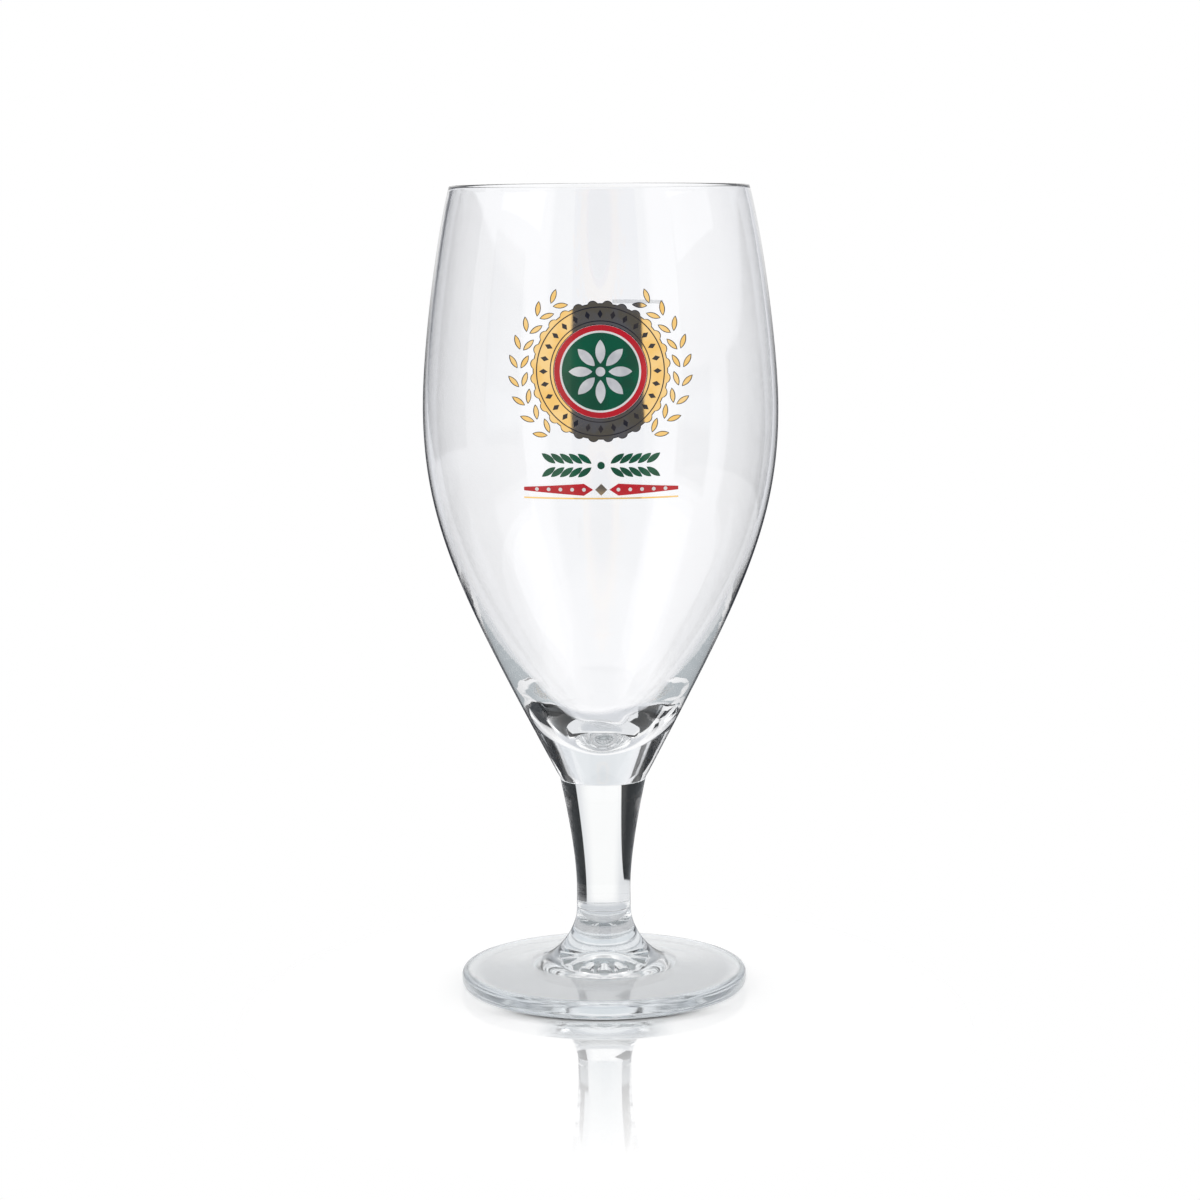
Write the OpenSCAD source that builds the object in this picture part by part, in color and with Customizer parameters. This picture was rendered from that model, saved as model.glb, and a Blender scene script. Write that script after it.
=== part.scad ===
// Stemmed pilsner glass: blown tulip bowl, solid stem, round foot and a print in fired layers.
// The origin is the centre of the foot's resting ring, +Z is up, and the print faces -Y.

/* [Bowl] */
// Outer diameter across the rim
rim_d = 66.5; // [60:0.5:72]
// Outer diameter at the widest level
belly_d = 79.1; // [74:0.1:86]
// Height of the bowl above its joint with the stem
bowl_h = 133; // [120:1:145]
// Height of the widest level above that joint
belly_h = 83.5; // [76:0.5:90]
// Glass thickness at the rim
rim_t = 1; // [0.8:0.1:1.6]
// Wall thickness at the widest level
wall_t = 1; // [0.8:0.1:1.8]
// Wall thickness where the thick base begins
low_wall_t = 1.4; // [1:0.1:2.4]
// Thickness of the solid base on the axis
base_t = 8.4; // [6:0.1:11]

/* [Stem] */
// Length of the stem between its two joints
stem_l = 29.7; // [22:0.1:40]
// Diameter at the joint with the bowl
seam_d = 19.3; // [17:0.1:22]
// Diameter at the joint with the foot
neck_d = 12.2; // [10:0.1:14]
// Depth of the fine groove that shows each joint
groove = 0.1; // [0.05:0.05:0.3]

/* [Foot] */
// Diameter of the foot
foot_d = 64.8; // [58:0.1:72]
// Height of the joint with the stem above the table
foot_h = 18.3; // [16:0.1:24]
// Height of the disc's edge
edge_h = 4.3; // [3.8:0.1:5.5]
// Rounding of the edge above
edge_top_r = 1.5; // [0.8:0.1:1.8]
// Rounding of the edge below
edge_low_r = 1.9; // [0.8:0.1:2]
// Radius at which the flare runs out into the disc
flare_r = 17; // [15:0.1:19]
// Height of the disc where the flare runs out
flare_h = 5.4; // [5.2:0.1:7]
// Width of the flat ring that the glass rests on
ring_w = 1.6; // [1:0.1:3]
// Height of the underside at the edge of the hollow
under_h = 1.6; // [0.8:0.1:2.2]
// Diameter of the pressed hollow under the stem
hollow_d = 16; // [13:0.1:20]
// Height of the hollow on the axis
hollow_h = 5.4; // [4.6:0.1:8]
// Number of flutes pressed into the hollow
flutes = 12; // [8:1:16]
// Radius of a flute at the edge of the hollow
flute_r = 1.6; // [0.8:0.1:2]

/* [Print] */
// Thickness of a fired layer of colour
print_t = 0.12; // [0.08:0.02:0.2]
// Clearance between the layers and the glass, and between one colour and the next
print_clear = 0.03; // [0.02:0.01:0.06]
// Level of the medallion's centre below the rim
medal_drop = 38.4; // [34:0.1:44]
// Diameter of the medallion inside its lobes
medal_d = 28.6; // [26:0.2:30]
// Number of lobes and of dark lozenges round the medallion
lobes = 28; // [20:2:36]
// Radius of a lobe
lobe_r = 1.2; // [1:0.1:1.4]
// Inner diameter of the gold band
band_in_d = 19.6; // [18:0.1:21]
// Width of a dark line in the gold band
line_w = 0.22; // [0.16:0.02:0.4]
// Distance of the dark lines from the band's two edges
line_inset = 0.8; // [0.6:0.05:1]
// Length of a dark lozenge, across the band
lozenge_l = 1.8; // [1:0.1:2.4]
// Width of a dark lozenge, along the band
lozenge_w = 1.1; // [0.6:0.1:1.4]
// Width of the red ring
red_w = 1.2; // [0.8:0.1:1.6]
// Width of the white ring
white_w = 0.35; // [0.25:0.05:0.6]
// Number of petals of the rosette
petals = 8; // [6:1:10]
// Length of a petal
petal_l = 5; // [4:0.1:6]
// Width of a petal
petal_w = 2.1; // [1.4:0.1:2.6]
// Distance of a petal's inner tip from the centre
petal_start = 1.7; // [1.5:0.1:2.2]
// Diameter of the rosette's eye
eye_d = 2; // [1:0.1:2.2]

/* [Leaves beside the medallion] */
// Distance from the medallion's centre to the row of leaves
spray_r = 17.2; // [17:0.1:20]
// Leaf pairs on each side
leaf_pairs = 9; // [5:1:10]
// Angle over which each side's pairs are spread
spray_angle = 104; // [80:1:120]
// Length of a leaf
leaf_l = 3.3; // [2.6:0.1:3.5]
// Width of a leaf
leaf_w = 1.2; // [0.8:0.1:1.5]
// Angle between a leaf and the row
leaf_turn = 32; // [24:1:45]

/* [Rows below the medallion] */
// Level of the green sprig below the medallion's centre
sprig_drop = 19.8; // [18.8:0.1:21]
// Width of the green sprig
sprig_w = 24; // [18:0.5:28]
// Leaf pairs on each half of the sprig
sprig_pairs = 5; // [3:1:6]
// Length of a green leaf
sprig_leaf_l = 3.6; // [2.8:0.1:4]
// Width of a green leaf
sprig_leaf_w = 1.3; // [0.8:0.05:1.5]
// Angle between a green leaf and the sprig
sprig_turn = 36; // [28:1:45]
// Diameter of the green dot in the middle
sprig_dot_d = 1.6; // [1:0.1:2]
// Level of the red bars below the medallion's centre
bar_drop = 25; // [24:0.1:27]
// Width of the two red bars together
bars_w = 32.8; // [26:0.2:36]
// Height of a red bar at its thick end
bar_h = 2.6; // [1.8:0.1:3]
// Gap between the two red bars
bars_gap = 3.4; // [2.8:0.1:5]
// Distance of the gold line below the middle of the bars
rule_drop = 1.9; // [1.8:0.1:3]
// Height of the gold line
rule_h = 0.35; // [0.25:0.05:0.6]
// White dots on each red bar
bar_dots = 5; // [3:1:6]
// Diameter of a white dot
dot_d = 0.8; // [0.5:0.05:0.9]

/* [Fill mark] */
// Level of the fill mark below the rim
mark_drop = 27.5; // [20:0.5:32]
// Length of the fill mark
mark_w = 12; // [10:0.5:20]
// Height of the fill mark
mark_h = 0.9; // [0.5:0.1:1.5]
// Distance of the fill mark's middle from the middle of the back
mark_side = 9; // [0:0.5:12]

/* [Hidden] */
$fn = 96;

// Heights of the joints and of the rim
neck_z = foot_h;
seam_z = foot_h + stem_l;
belly_z = seam_z + belly_h;
rim_z = seam_z + bowl_h;

// Steps in each curve of the outline
curve_steps = 18;
round_steps = 6;

// Shares that shape the bowl's outline: pull of each curve's ends and slope at the far end
shoulder_pull_share = 0.26;
rim_pull_share = 0.2;
rim_slope_share = 0.276;
belly_pull_share = 0.318;
cone_pull_share = 0.484;
cone_slope_share = 0.519;

// Shares that shape the cavity: where it leaves the wall's curve, the step that gives its way there,
// and the pull of its two ends
cavity_start_share = 0.45;
cavity_step_share = 0.01;
cavity_pull_share = 0.43;
cavity_round_share = 0.24;

// Shares that shape the stem and the foot
stem_pull_share = 0.67;
stem_slope_share = 0.212;
neck_pull_share = 0.15;
flare_pull_share = 0.47;
flare_run_share = 0.49;
ring_rise_share = 0.35;
hollow_side_share = 0.45;
hollow_top_share = 0.4;
flute_apex_share = 0.86;

// Shares that shape the print
bar_tip_share = 0.3;
bar_nose_share = 0.75;
dot_span_share = 0.68;

// Point at share t of the curve with the end points a and d, pulled towards b and c
function curve_at(a, b, c, d, t) =
    pow(1 - t, 3) * a + 3 * pow(1 - t, 2) * t * b + 3 * (1 - t) * t * t * c + pow(t, 3) * d;

// Points of the same curve, without the first one
function curve(a, b, c, d) = [for (i = [1 : curve_steps]) curve_at(a, b, c, d, i / curve_steps)];

// Points of a round edge about a centre, from one angle to another
function round_edge(centre, r, from, to) =
    [for (i = [0 : round_steps])
        let (turn = from + (to - from) * i / round_steps) centre + r * [cos(turn), sin(turn)]];

// Outer curve of the bowl, from the joint up to the widest level and on to the rim
seam = [seam_d / 2, seam_z];
belly = [belly_d / 2, belly_z];
rim = [rim_d / 2, rim_z - rim_t / 2];
cone_pull = seam + cone_pull_share * belly_h * [cone_slope_share, 1];
belly_pull = belly - [0, belly_pull_share * belly_h];
shoulder_pull = belly + [0, shoulder_pull_share * (bowl_h - belly_h)];
rim_pull = rim + rim_pull_share * (bowl_h - belly_h) * [rim_slope_share, -1];

function lower_wall(t) = curve_at(belly, belly_pull, cone_pull, seam, t);
function upper_wall(t) = curve_at(belly, shoulder_pull, rim_pull, rim, t);

// Inner side of the wall, which grows thicker towards the base
function lower_inside(t) =
    lower_wall(t) - [wall_t + (low_wall_t - wall_t) * pow(t / cavity_start_share, 2), 0];
function upper_inside(t) = upper_wall(t) - [wall_t + (rim_t - wall_t) * t, 0];

// Curve of the cavity in the thick base, from the inner wall down to the axis
cavity_start = lower_inside(cavity_start_share);
cavity_end = [0, seam_z + base_t];
cavity_fall = cavity_start[1] - cavity_end[1];
cavity_way = cavity_start - lower_inside(cavity_start_share - cavity_step_share);
cavity_pull = cavity_start + cavity_pull_share * cavity_fall * cavity_way / norm(cavity_way);
cavity_round = cavity_end + [cavity_round_share * cavity_fall, 0];

module bowl() {
    color([0.92, 0.95, 0.96, 0.35])
        rotate_extrude()
            polygon(concat(
                [[0, seam_z], [seam_d / 2 - groove, seam_z], seam + [0, groove]],
                [for (i = [1 : curve_steps]) lower_wall(1 - i / curve_steps)],
                [for (i = [1 : curve_steps - 1]) upper_wall(i / curve_steps)],
                round_edge(rim - [rim_t / 2, 0], rim_t / 2, 0, 180),
                [for (i = [1 : curve_steps]) upper_inside(1 - i / curve_steps)],
                [for (i = [1 : curve_steps]) lower_inside(cavity_start_share * i / curve_steps)],
                curve(cavity_start, cavity_pull, cavity_round, cavity_end)
            ));
}

module stem() {
    neck = [neck_d / 2, neck_z + groove];
    top = [seam_d / 2, seam_z - groove];
    color([0.9, 0.94, 0.95, 0.45])
        rotate_extrude()
            polygon(concat(
                [[0, neck_z], [neck_d / 2 - groove, neck_z], neck],
                curve(neck, neck + [0, neck_pull_share * stem_l],
                    top - stem_pull_share * stem_l * [stem_slope_share, 1], top),
                [[seam_d / 2 - groove, seam_z], [0, seam_z]]
            ));
}

// One flute, a slim cone from a point in the hollow out to its edge
module flute() {
    apex_z = flute_apex_share * hollow_h;
    edge_r = hollow_d / 2;
    fall = atan((apex_z - under_h) / edge_r);
    translate([0, 0, apex_z])
        rotate([0, 90 + fall, 0])
            cylinder(h = norm([edge_r, apex_z - under_h]), r1 = 0, r2 = flute_r, $fn = 32);
}

module foot() {
    neck = [neck_d / 2, neck_z - groove];
    run_out = [flare_r, flare_h];
    disc_edge = [foot_d / 2 - edge_top_r, edge_h];
    disc_slope = (flare_h - edge_h) / (disc_edge[0] - flare_r);
    ring_out = foot_d / 2 - edge_low_r;
    ring_in = [ring_out - ring_w, 0];
    hollow_edge = [hollow_d / 2, under_h];
    hollow_top = [0, hollow_h];
    color([0.88, 0.93, 0.94, 0.45])
        difference() {
            rotate_extrude()
                polygon(concat(
                    [[0, neck_z], [neck_d / 2 - groove, neck_z], neck],
                    curve(neck, neck - [0, flare_pull_share * (neck_z - flare_h)],
                        run_out + flare_run_share * (flare_r - neck_d / 2) * [-1, disc_slope],
                        run_out),
                    round_edge(disc_edge - [0, edge_top_r], edge_top_r, 90, 0),
                    round_edge([ring_out, edge_low_r], edge_low_r, 0, -90),
                    [ring_in],
                    curve(ring_in, ring_in - [ring_w, 0],
                        hollow_edge + [ring_w / ring_rise_share, 0], hollow_edge),
                    curve(hollow_edge, hollow_edge + hollow_side_share * (hollow_top - hollow_edge),
                        hollow_top + [hollow_top_share * hollow_d / 2, 0], hollow_top)
                ));
            for (i = [1 : flutes]) rotate([0, 0, 360 * i / flutes]) flute();
        }
}

// A thin skin over the bowl's wall, as high as the print
module print_skin() {
    wall = concat(
        [for (i = [1 : curve_steps - 1]) lower_wall(1 - i / curve_steps)],
        [for (i = [0 : curve_steps - 1]) upper_wall(i / curve_steps)]
    );
    rotate_extrude()
        polygon(concat(
            [for (p = wall) p + [print_clear, 0]],
            [for (i = [len(wall) - 1 : -1 : 0]) wall[i] + [print_clear + print_t, 0]]
        ));
}

// Lays a flat drawing on the front of the bowl, with its origin at the medallion's centre
module on_front() {
    intersection() {
        print_skin();
        translate([0, 0, rim_z - medal_drop])
            rotate([90, 0, 0])
                linear_extrude(height = belly_d) children();
    }
}

// A pointed leaf along X, from the origin to its tip
module leaf(long, wide) {
    bend_r = (long * long + wide * wide) / (4 * wide);
    translate([long / 2, 0])
        intersection() {
            translate([0, bend_r - wide / 2]) circle(r = bend_r);
            translate([0, wide / 2 - bend_r]) circle(r = bend_r);
        }
}

// A flat ring between two radii
module ring(inner_r, outer_r) {
    difference() {
        circle(r = outer_r);
        circle(r = inner_r);
    }
}

// The dark lozenges in the middle of the gold band, each grown on every side
module lozenges(grow) {
    middle_r = (medal_d + band_in_d) / 4;
    half_l = lozenge_l / 2 + grow;
    half_w = lozenge_w / 2 + grow;
    for (i = [1 : lobes])
        rotate(360 * i / lobes)
            translate([middle_r, 0])
                polygon([[half_l, 0], [0, half_w], [-half_l, 0], [0, -half_w]]);
}

// The two dark rings in the gold band, each grown on both sides
module band_lines(grow) {
    for (r = [band_in_d / 2 + line_inset, medal_d / 2 - line_inset])
        ring(r - line_w / 2 - grow, r + line_w / 2 + grow);
}

module gold_band() {
    color([0.93, 0.72, 0.36])
        on_front()
            difference() {
                union() {
                    circle(r = medal_d / 2);
                    for (i = [1 : lobes])
                        rotate(360 * (i + 0.5) / lobes)
                            translate([medal_d / 2 - lobe_r / 2, 0]) circle(r = lobe_r);
                }
                circle(r = band_in_d / 2);
                band_lines(print_clear);
                lozenges(print_clear);
            }
}

module dark_lines() {
    color([0.12, 0.11, 0.1])
        on_front() {
            band_lines(0);
            lozenges(0);
        }
}

red_r = band_in_d / 2 - print_clear;
white_r = red_r - red_w - print_clear;
green_r = white_r - white_w - print_clear;

module red_ring() {
    color([0.75, 0.07, 0.1])
        on_front()
            ring(red_r - red_w, red_r);
}

module white_ring() {
    color([0.95, 0.95, 0.93])
        on_front()
            ring(white_r - white_w, white_r);
}

// The rosette's petals and eye, each grown on every side
module rosette(grow) {
    circle(r = eye_d / 2 + grow);
    for (i = [1 : petals])
        rotate(360 * i / petals)
            translate([petal_start - grow, 0])
                leaf(petal_l + 2 * grow, petal_w + 2 * grow);
}

module green_field() {
    color([0, 0.33, 0.18])
        on_front()
            difference() {
                circle(r = green_r);
                rosette(print_clear);
            }
}

module silver_rosette() {
    color([0.8, 0.81, 0.83])
        on_front()
            rosette(0);
}

module gold_leaves() {
    color([0.93, 0.72, 0.36])
        on_front()
            for (side = [0, 1], i = [0 : leaf_pairs - 1])
                mirror([side, 0])
                    rotate(spray_angle * (i / (leaf_pairs - 1) - 0.5))
                        translate([spray_r, 0])
                            for (turn = [-leaf_turn, leaf_turn])
                                rotate(90 + turn)
                                    translate([print_clear + leaf_w / 2, 0])
                                        leaf(leaf_l, leaf_w);
}

module green_sprig() {
    half_turn_w = sprig_leaf_l * cos(sprig_turn);
    start = sprig_dot_d / 2 + sprig_leaf_w / 2;
    step = (sprig_w / 2 - half_turn_w - start) / (sprig_pairs - 1);
    color([0, 0.33, 0.18])
        on_front()
            translate([0, -sprig_drop]) {
                circle(r = sprig_dot_d / 2);
                for (side = [0, 1], i = [0 : sprig_pairs - 1], turn = [-sprig_turn, sprig_turn])
                    mirror([side, 0])
                        translate([start + step * i, 0])
                            rotate(turn)
                                translate([print_clear + sprig_leaf_w / 2, 0])
                                    leaf(sprig_leaf_l, sprig_leaf_w);
            }
}

// The white dots on one red bar, each grown on every side
module bar_dot_row(grow) {
    bar_l = (bars_w - bars_gap) / 2;
    for (i = [0 : bar_dots - 1])
        translate([bars_gap / 2 + bar_nose_share * bar_h + dot_span_share * bar_l * i / (bar_dots - 1), 0])
            circle(r = dot_d / 2 + grow);
}

module red_bars() {
    near = bars_gap / 2;
    far = bars_w / 2;
    color([0.75, 0.07, 0.1])
        on_front()
            translate([0, -bar_drop])
                for (side = [0, 1])
                    mirror([side, 0])
                        difference() {
                            polygon([
                                [near, 0],
                                [near + bar_nose_share * bar_h, bar_h / 2],
                                [far, bar_tip_share * bar_h / 2],
                                [far, -bar_tip_share * bar_h / 2],
                                [near + bar_nose_share * bar_h, -bar_h / 2]
                            ]);
                            bar_dot_row(print_clear);
                        }
}

module white_dots() {
    color([0.95, 0.95, 0.93])
        on_front()
            translate([0, -bar_drop])
                for (side = [0, 1])
                    mirror([side, 0]) bar_dot_row(0);
}

module gold_rule() {
    color([0.93, 0.72, 0.36])
        on_front()
            translate([0, -bar_drop]) {
                translate([-bars_w / 2, -rule_drop - rule_h / 2]) square([bars_w, rule_h]);
                polygon([[bar_h / 2, 0], [0, bar_h / 2], [-bar_h / 2, 0], [0, -bar_h / 2]]);
            }
}

module fill_mark() {
    color([0.8, 0.82, 0.84])
        intersection() {
            print_skin();
            translate([mark_side, 0, rim_z - mark_drop])
                rotate([90, 0, 180])
                    linear_extrude(height = belly_d)
                        square([mark_w, mark_h], center = true);
        }
}

bowl();
stem();
foot();
gold_band();
gold_leaves();
gold_rule();
dark_lines();
red_ring();
red_bars();
white_ring();
white_dots();
green_field();
green_sprig();
silver_rosette();
fill_mark();
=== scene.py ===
import math

import bmesh
import bpy
import numpy as np
from mathutils import Matrix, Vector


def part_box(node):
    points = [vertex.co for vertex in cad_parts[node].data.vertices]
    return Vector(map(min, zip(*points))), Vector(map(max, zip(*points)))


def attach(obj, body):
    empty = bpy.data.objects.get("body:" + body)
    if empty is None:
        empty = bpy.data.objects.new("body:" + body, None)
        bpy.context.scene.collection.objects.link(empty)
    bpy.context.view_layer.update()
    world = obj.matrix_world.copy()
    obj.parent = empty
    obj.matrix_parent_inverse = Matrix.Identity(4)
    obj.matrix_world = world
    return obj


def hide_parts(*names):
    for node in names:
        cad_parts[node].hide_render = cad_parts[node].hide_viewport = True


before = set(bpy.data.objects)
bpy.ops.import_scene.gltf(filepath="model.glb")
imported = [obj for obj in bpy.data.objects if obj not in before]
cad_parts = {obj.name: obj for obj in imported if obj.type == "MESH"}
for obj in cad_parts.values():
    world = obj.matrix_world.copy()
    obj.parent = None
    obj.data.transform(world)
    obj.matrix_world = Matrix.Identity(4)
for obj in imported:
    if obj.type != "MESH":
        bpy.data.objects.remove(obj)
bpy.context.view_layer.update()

bl_info = {
    "name": "Stemmed pilsner glass",
    "version": (1, 0, 0),
    "blender": (4, 5, 0),
    "location": "3D View > Sidebar > Glass",
    "description": "Turns the bowl, stem and foot, lays the fired print on the wall and sets a plain stage",
    "category": "Add Mesh",
}

MM = 0.001
SEED = 7
MERGE = 1e-7
SHARP_EDGE = math.radians(40)
WHITE = (1.0, 1.0, 1.0)
LAMP_PLACES = {"left_soft_box": (-0.9, -0.5, 0.9), "right_soft_box": (1.0, -0.3, 0.8)}
LAMP_AIM = (0.0, 0.0, 0.1)
MARKS = ("ripple", "cap", "hollow", "outside")

bowl_low, bowl_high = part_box("bowl")
stem_low, stem_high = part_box("stem")
foot_low, foot_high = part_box("foot")


def length(name, description, mm):
    return bpy.props.FloatProperty(
        name=name, description=description, default=mm * MM, unit="LENGTH", precision=5)


def measured(name, description, metres):
    return length(name, description, metres / MM)


def count(name, description, default):
    return bpy.props.IntProperty(name=name, description=description, default=default, min=1)


def share(name, description, default):
    return bpy.props.FloatProperty(
        name=name, description=description, default=default, subtype="FACTOR", min=0, max=1)


def degrees(name, description, default):
    return bpy.props.FloatProperty(
        name=name, description=description, default=math.radians(default), unit="ROTATION")


def colour(name, description, default):
    return bpy.props.FloatVectorProperty(
        name=name, description=description, default=default, size=3, subtype="COLOR", min=0, max=1)


class GlassSizes(bpy.types.PropertyGroup):
    """Sizes of the bowl, the stem and the foot."""
    rim_d: length("Rim", "Outer diameter across the rim", 66.5)
    belly_d: measured("Belly", "Outer diameter at the widest level", bowl_high.x - bowl_low.x)
    belly_h: length("Belly level", "Height of the widest level above the bowl's joint", 83.5)
    rim_z: measured("Rim level", "Height of the rim above the table", bowl_high.z)
    seam_z: measured("Bowl joint level", "Height of the joint of bowl and stem", bowl_low.z)
    neck_z: measured("Foot joint level", "Height of the joint of stem and foot", stem_low.z)
    rim_t: length("Rim thickness", "Thickness of the wall at the rim", 1)
    wall_t: length("Wall thickness", "Thickness of the wall at the widest level", 1)
    low_wall_t: length("Lower wall thickness", "Thickness of the wall where the thick base begins", 1.4)
    base_t: length("Base thickness", "Thickness of the solid base on the axis", 8.4)
    seam_d: measured("Bowl joint", "Diameter at the joint of bowl and stem", stem_high.x - stem_low.x)
    neck_d: length("Foot joint", "Diameter at the joint of stem and foot", 12.2)
    groove: length("Groove", "Depth of the fine groove at each joint", 0.1)
    foot_d: measured("Foot", "Diameter of the foot", foot_high.x - foot_low.x)
    edge_h: length("Foot edge", "Height of the foot's edge", 4.3)
    edge_top_r: length("Upper rounding", "Rounding of the foot's edge above", 1.5)
    edge_low_r: length("Lower rounding", "Rounding of the foot's edge below", 1.9)
    flare_r: length("Flare radius", "Radius at which the flare runs out into the disc", 17)
    flare_h: length("Flare level", "Height of the disc where the flare runs out", 5.4)
    ring_w: length("Resting ring", "Width of the flat ring that the glass rests on", 1.6)
    under_h: length("Underside", "Height of the underside at the edge of the hollow", 1.6)
    hollow_d: length("Hollow", "Diameter of the pressed hollow under the stem", 16)
    hollow_h: length("Hollow height", "Height of the hollow on the axis", 5.4)
    flutes: count("Flutes", "Flutes pressed into the hollow", 12)
    flute_r: length("Flute radius", "Radius of a flute at the edge of the hollow", 1.6)
    segments: count("Segments", "Faces round a turned piece", 168)
    ripple_h: length("Ripple height", "Height of the waves in the thick base", 0.24)
    ripple_l: length("Ripple length", "Length of the waves in the thick base", 9)


class PrintSizes(bpy.types.PropertyGroup):
    """Sizes of the fired print."""
    clear: length("Clearance", "Clearance between the print and the glass", 0.03)
    layer_t: length("Layer", "Thickness of a layer next to the glass", 0.06)
    over_t: length("Upper layer", "Thickness of a layer printed over another", 0.04)
    medal_drop: length("Medallion level", "Distance of the medallion's centre below the rim", 38.4)
    medal_d: length("Medallion", "Diameter of the medallion inside its lobes", 28.6)
    lobes: count("Lobes", "Lobes and lozenges round the medallion", 28)
    lobe_r: length("Lobe", "Radius of a lobe", 1.2)
    band_in_d: length("Band opening", "Inner diameter of the gold band", 19.6)
    line_w: length("Dark line", "Width of a dark line in the gold band", 0.22)
    line_inset: length("Line inset", "Distance of the dark lines from the band's edges", 0.8)
    edge_w: length("Outline", "Width of the dark outline round a gold shape", 0.16)
    lozenge_l: length("Lozenge length", "Length of a dark lozenge", 1.8)
    lozenge_w: length("Lozenge width", "Width of a dark lozenge", 1.1)
    red_w: length("Red ring", "Width of the red ring", 1.2)
    white_w: length("White ring", "Width of the white ring", 0.35)
    petals: count("Petals", "Petals of the rosette", 8)
    petal_l: length("Petal length", "Length of a petal", 5)
    petal_w: length("Petal width", "Width of a petal", 2.1)
    petal_start: length("Petal start", "Distance of a petal's inner tip from the centre", 1.7)
    eye_d: length("Eye", "Diameter of the rosette's eye", 2)
    spray_r: length("Spray radius", "Distance from the medallion's centre to the gold leaves", 17.2)
    leaf_pairs: count("Gold leaf pairs", "Pairs of gold leaves on each side", 9)
    spray_angle: degrees("Spray angle", "Angle over which each side's pairs are spread", 104)
    leaf_l: length("Gold leaf", "Length of a gold leaf", 3.3)
    leaf_w: length("Gold leaf width", "Width of a gold leaf", 1.2)
    leaf_turn: degrees("Gold leaf angle", "Angle between a gold leaf and its row", 32)
    sprig_drop: length("Sprig level", "Distance of the green sprig below the medallion's centre", 19.8)
    sprig_w: length("Sprig", "Width of the green sprig", 24)
    sprig_pairs: count("Green leaf pairs", "Pairs of green leaves on each half", 5)
    sprig_leaf_l: length("Green leaf", "Length of a green leaf", 3.6)
    sprig_leaf_w: length("Green leaf width", "Width of a green leaf", 1.3)
    sprig_turn: degrees("Green leaf angle", "Angle between a green leaf and the sprig", 36)
    sprig_dot_d: length("Green dot", "Diameter of the dot in the middle of the sprig", 1.6)
    bar_drop: length("Bar level", "Distance of the red bars below the medallion's centre", 25)
    bars_w: length("Bars", "Width of the two red bars together", 32.8)
    bar_h: length("Bar height", "Height of a red bar at its thick end", 2.6)
    bars_gap: length("Bar gap", "Gap between the two red bars", 3.4)
    rule_drop: length("Gold line level", "Distance of the gold line below the bars", 1.9)
    rule_h: length("Gold line", "Height of the gold line", 0.35)
    bar_dots: count("White dots", "White dots on each red bar", 5)
    dot_d: length("White dot", "Diameter of a white dot", 0.8)
    mark_drop: length("Fill mark level", "Distance of the fill mark below the rim", 27.5)
    mark_w: length("Fill mark", "Length of the fill mark", 12)
    mark_h: length("Fill mark height", "Height of the fill mark", 0.9)
    mark_side: length("Fill mark place", "Distance of the fill mark from the middle of the back", 9)
    mark_cover: share("Fill mark cover", "Share of the glass that the thin fill mark covers", 0.2)


class FinishColours(bpy.types.PropertyGroup):
    """Colours of the glass and of the fired layers."""
    bowl_tint: colour("Bowl", "Tint of the thin bowl", (0.989, 0.991, 1.0))
    stem_tint: colour("Stem", "Tint of the solid stem", (0.975, 0.985, 0.985))
    foot_tint: colour("Foot", "Tint of the foot", (0.957, 0.968, 0.972))
    # The rim's deeper tint stands for the glass's colour along the long way into the disc, and also paints
    # the shade seen there
    rim_tint_and_painted_shade: colour("Foot rim", "Tint of the foot's rim, where one looks into the disc", (0.8, 0.84, 0.87))
    # Painted shade: the pressed hollow is darkened by a tint of its own
    painted_shade_hollow_tint: colour("Foot hollow", "Tint of the pressed hollow under the stem", (0.5, 0.54, 0.56))
    gold: colour("Gold", "Fired bright gold", (0.95, 0.6, 0.19))
    gold_pale: colour("Pale gold", "Where the gold lies thicker", (0.98, 0.68, 0.29))
    silver: colour("Silver", "Fired bright silver", (0.72, 0.72, 0.7))
    silver_pale: colour("Pale silver", "Where the silver lies thicker", (0.88, 0.88, 0.85))
    red: colour("Red", "Fired red enamel", (0.64, 0.006, 0.012))
    red_deep: colour("Deep red", "Where the red lies thicker", (0.54, 0.004, 0.009))
    green: colour("Green", "Fired green enamel", (0.0, 0.115, 0.045))
    green_deep: colour("Deep green", "Where the green lies thicker", (0.0, 0.08, 0.028))
    white: colour("White", "Fired white enamel", (0.88, 0.88, 0.86))
    white_deep: colour("Dull white", "Where the white lies thinner", (0.78, 0.79, 0.78))
    dark: colour("Dark", "Fired dark enamel", (0.014, 0.013, 0.012))
    dark_brown: colour("Dark brown", "Where the dark enamel lies thinner", (0.035, 0.027, 0.02))
    mark: colour("Fill mark", "Fired pale grey enamel", (0.56, 0.6, 0.64))
    mark_thin: colour("Thin fill mark", "Where the fill mark is worn", (0.66, 0.69, 0.72))


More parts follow.
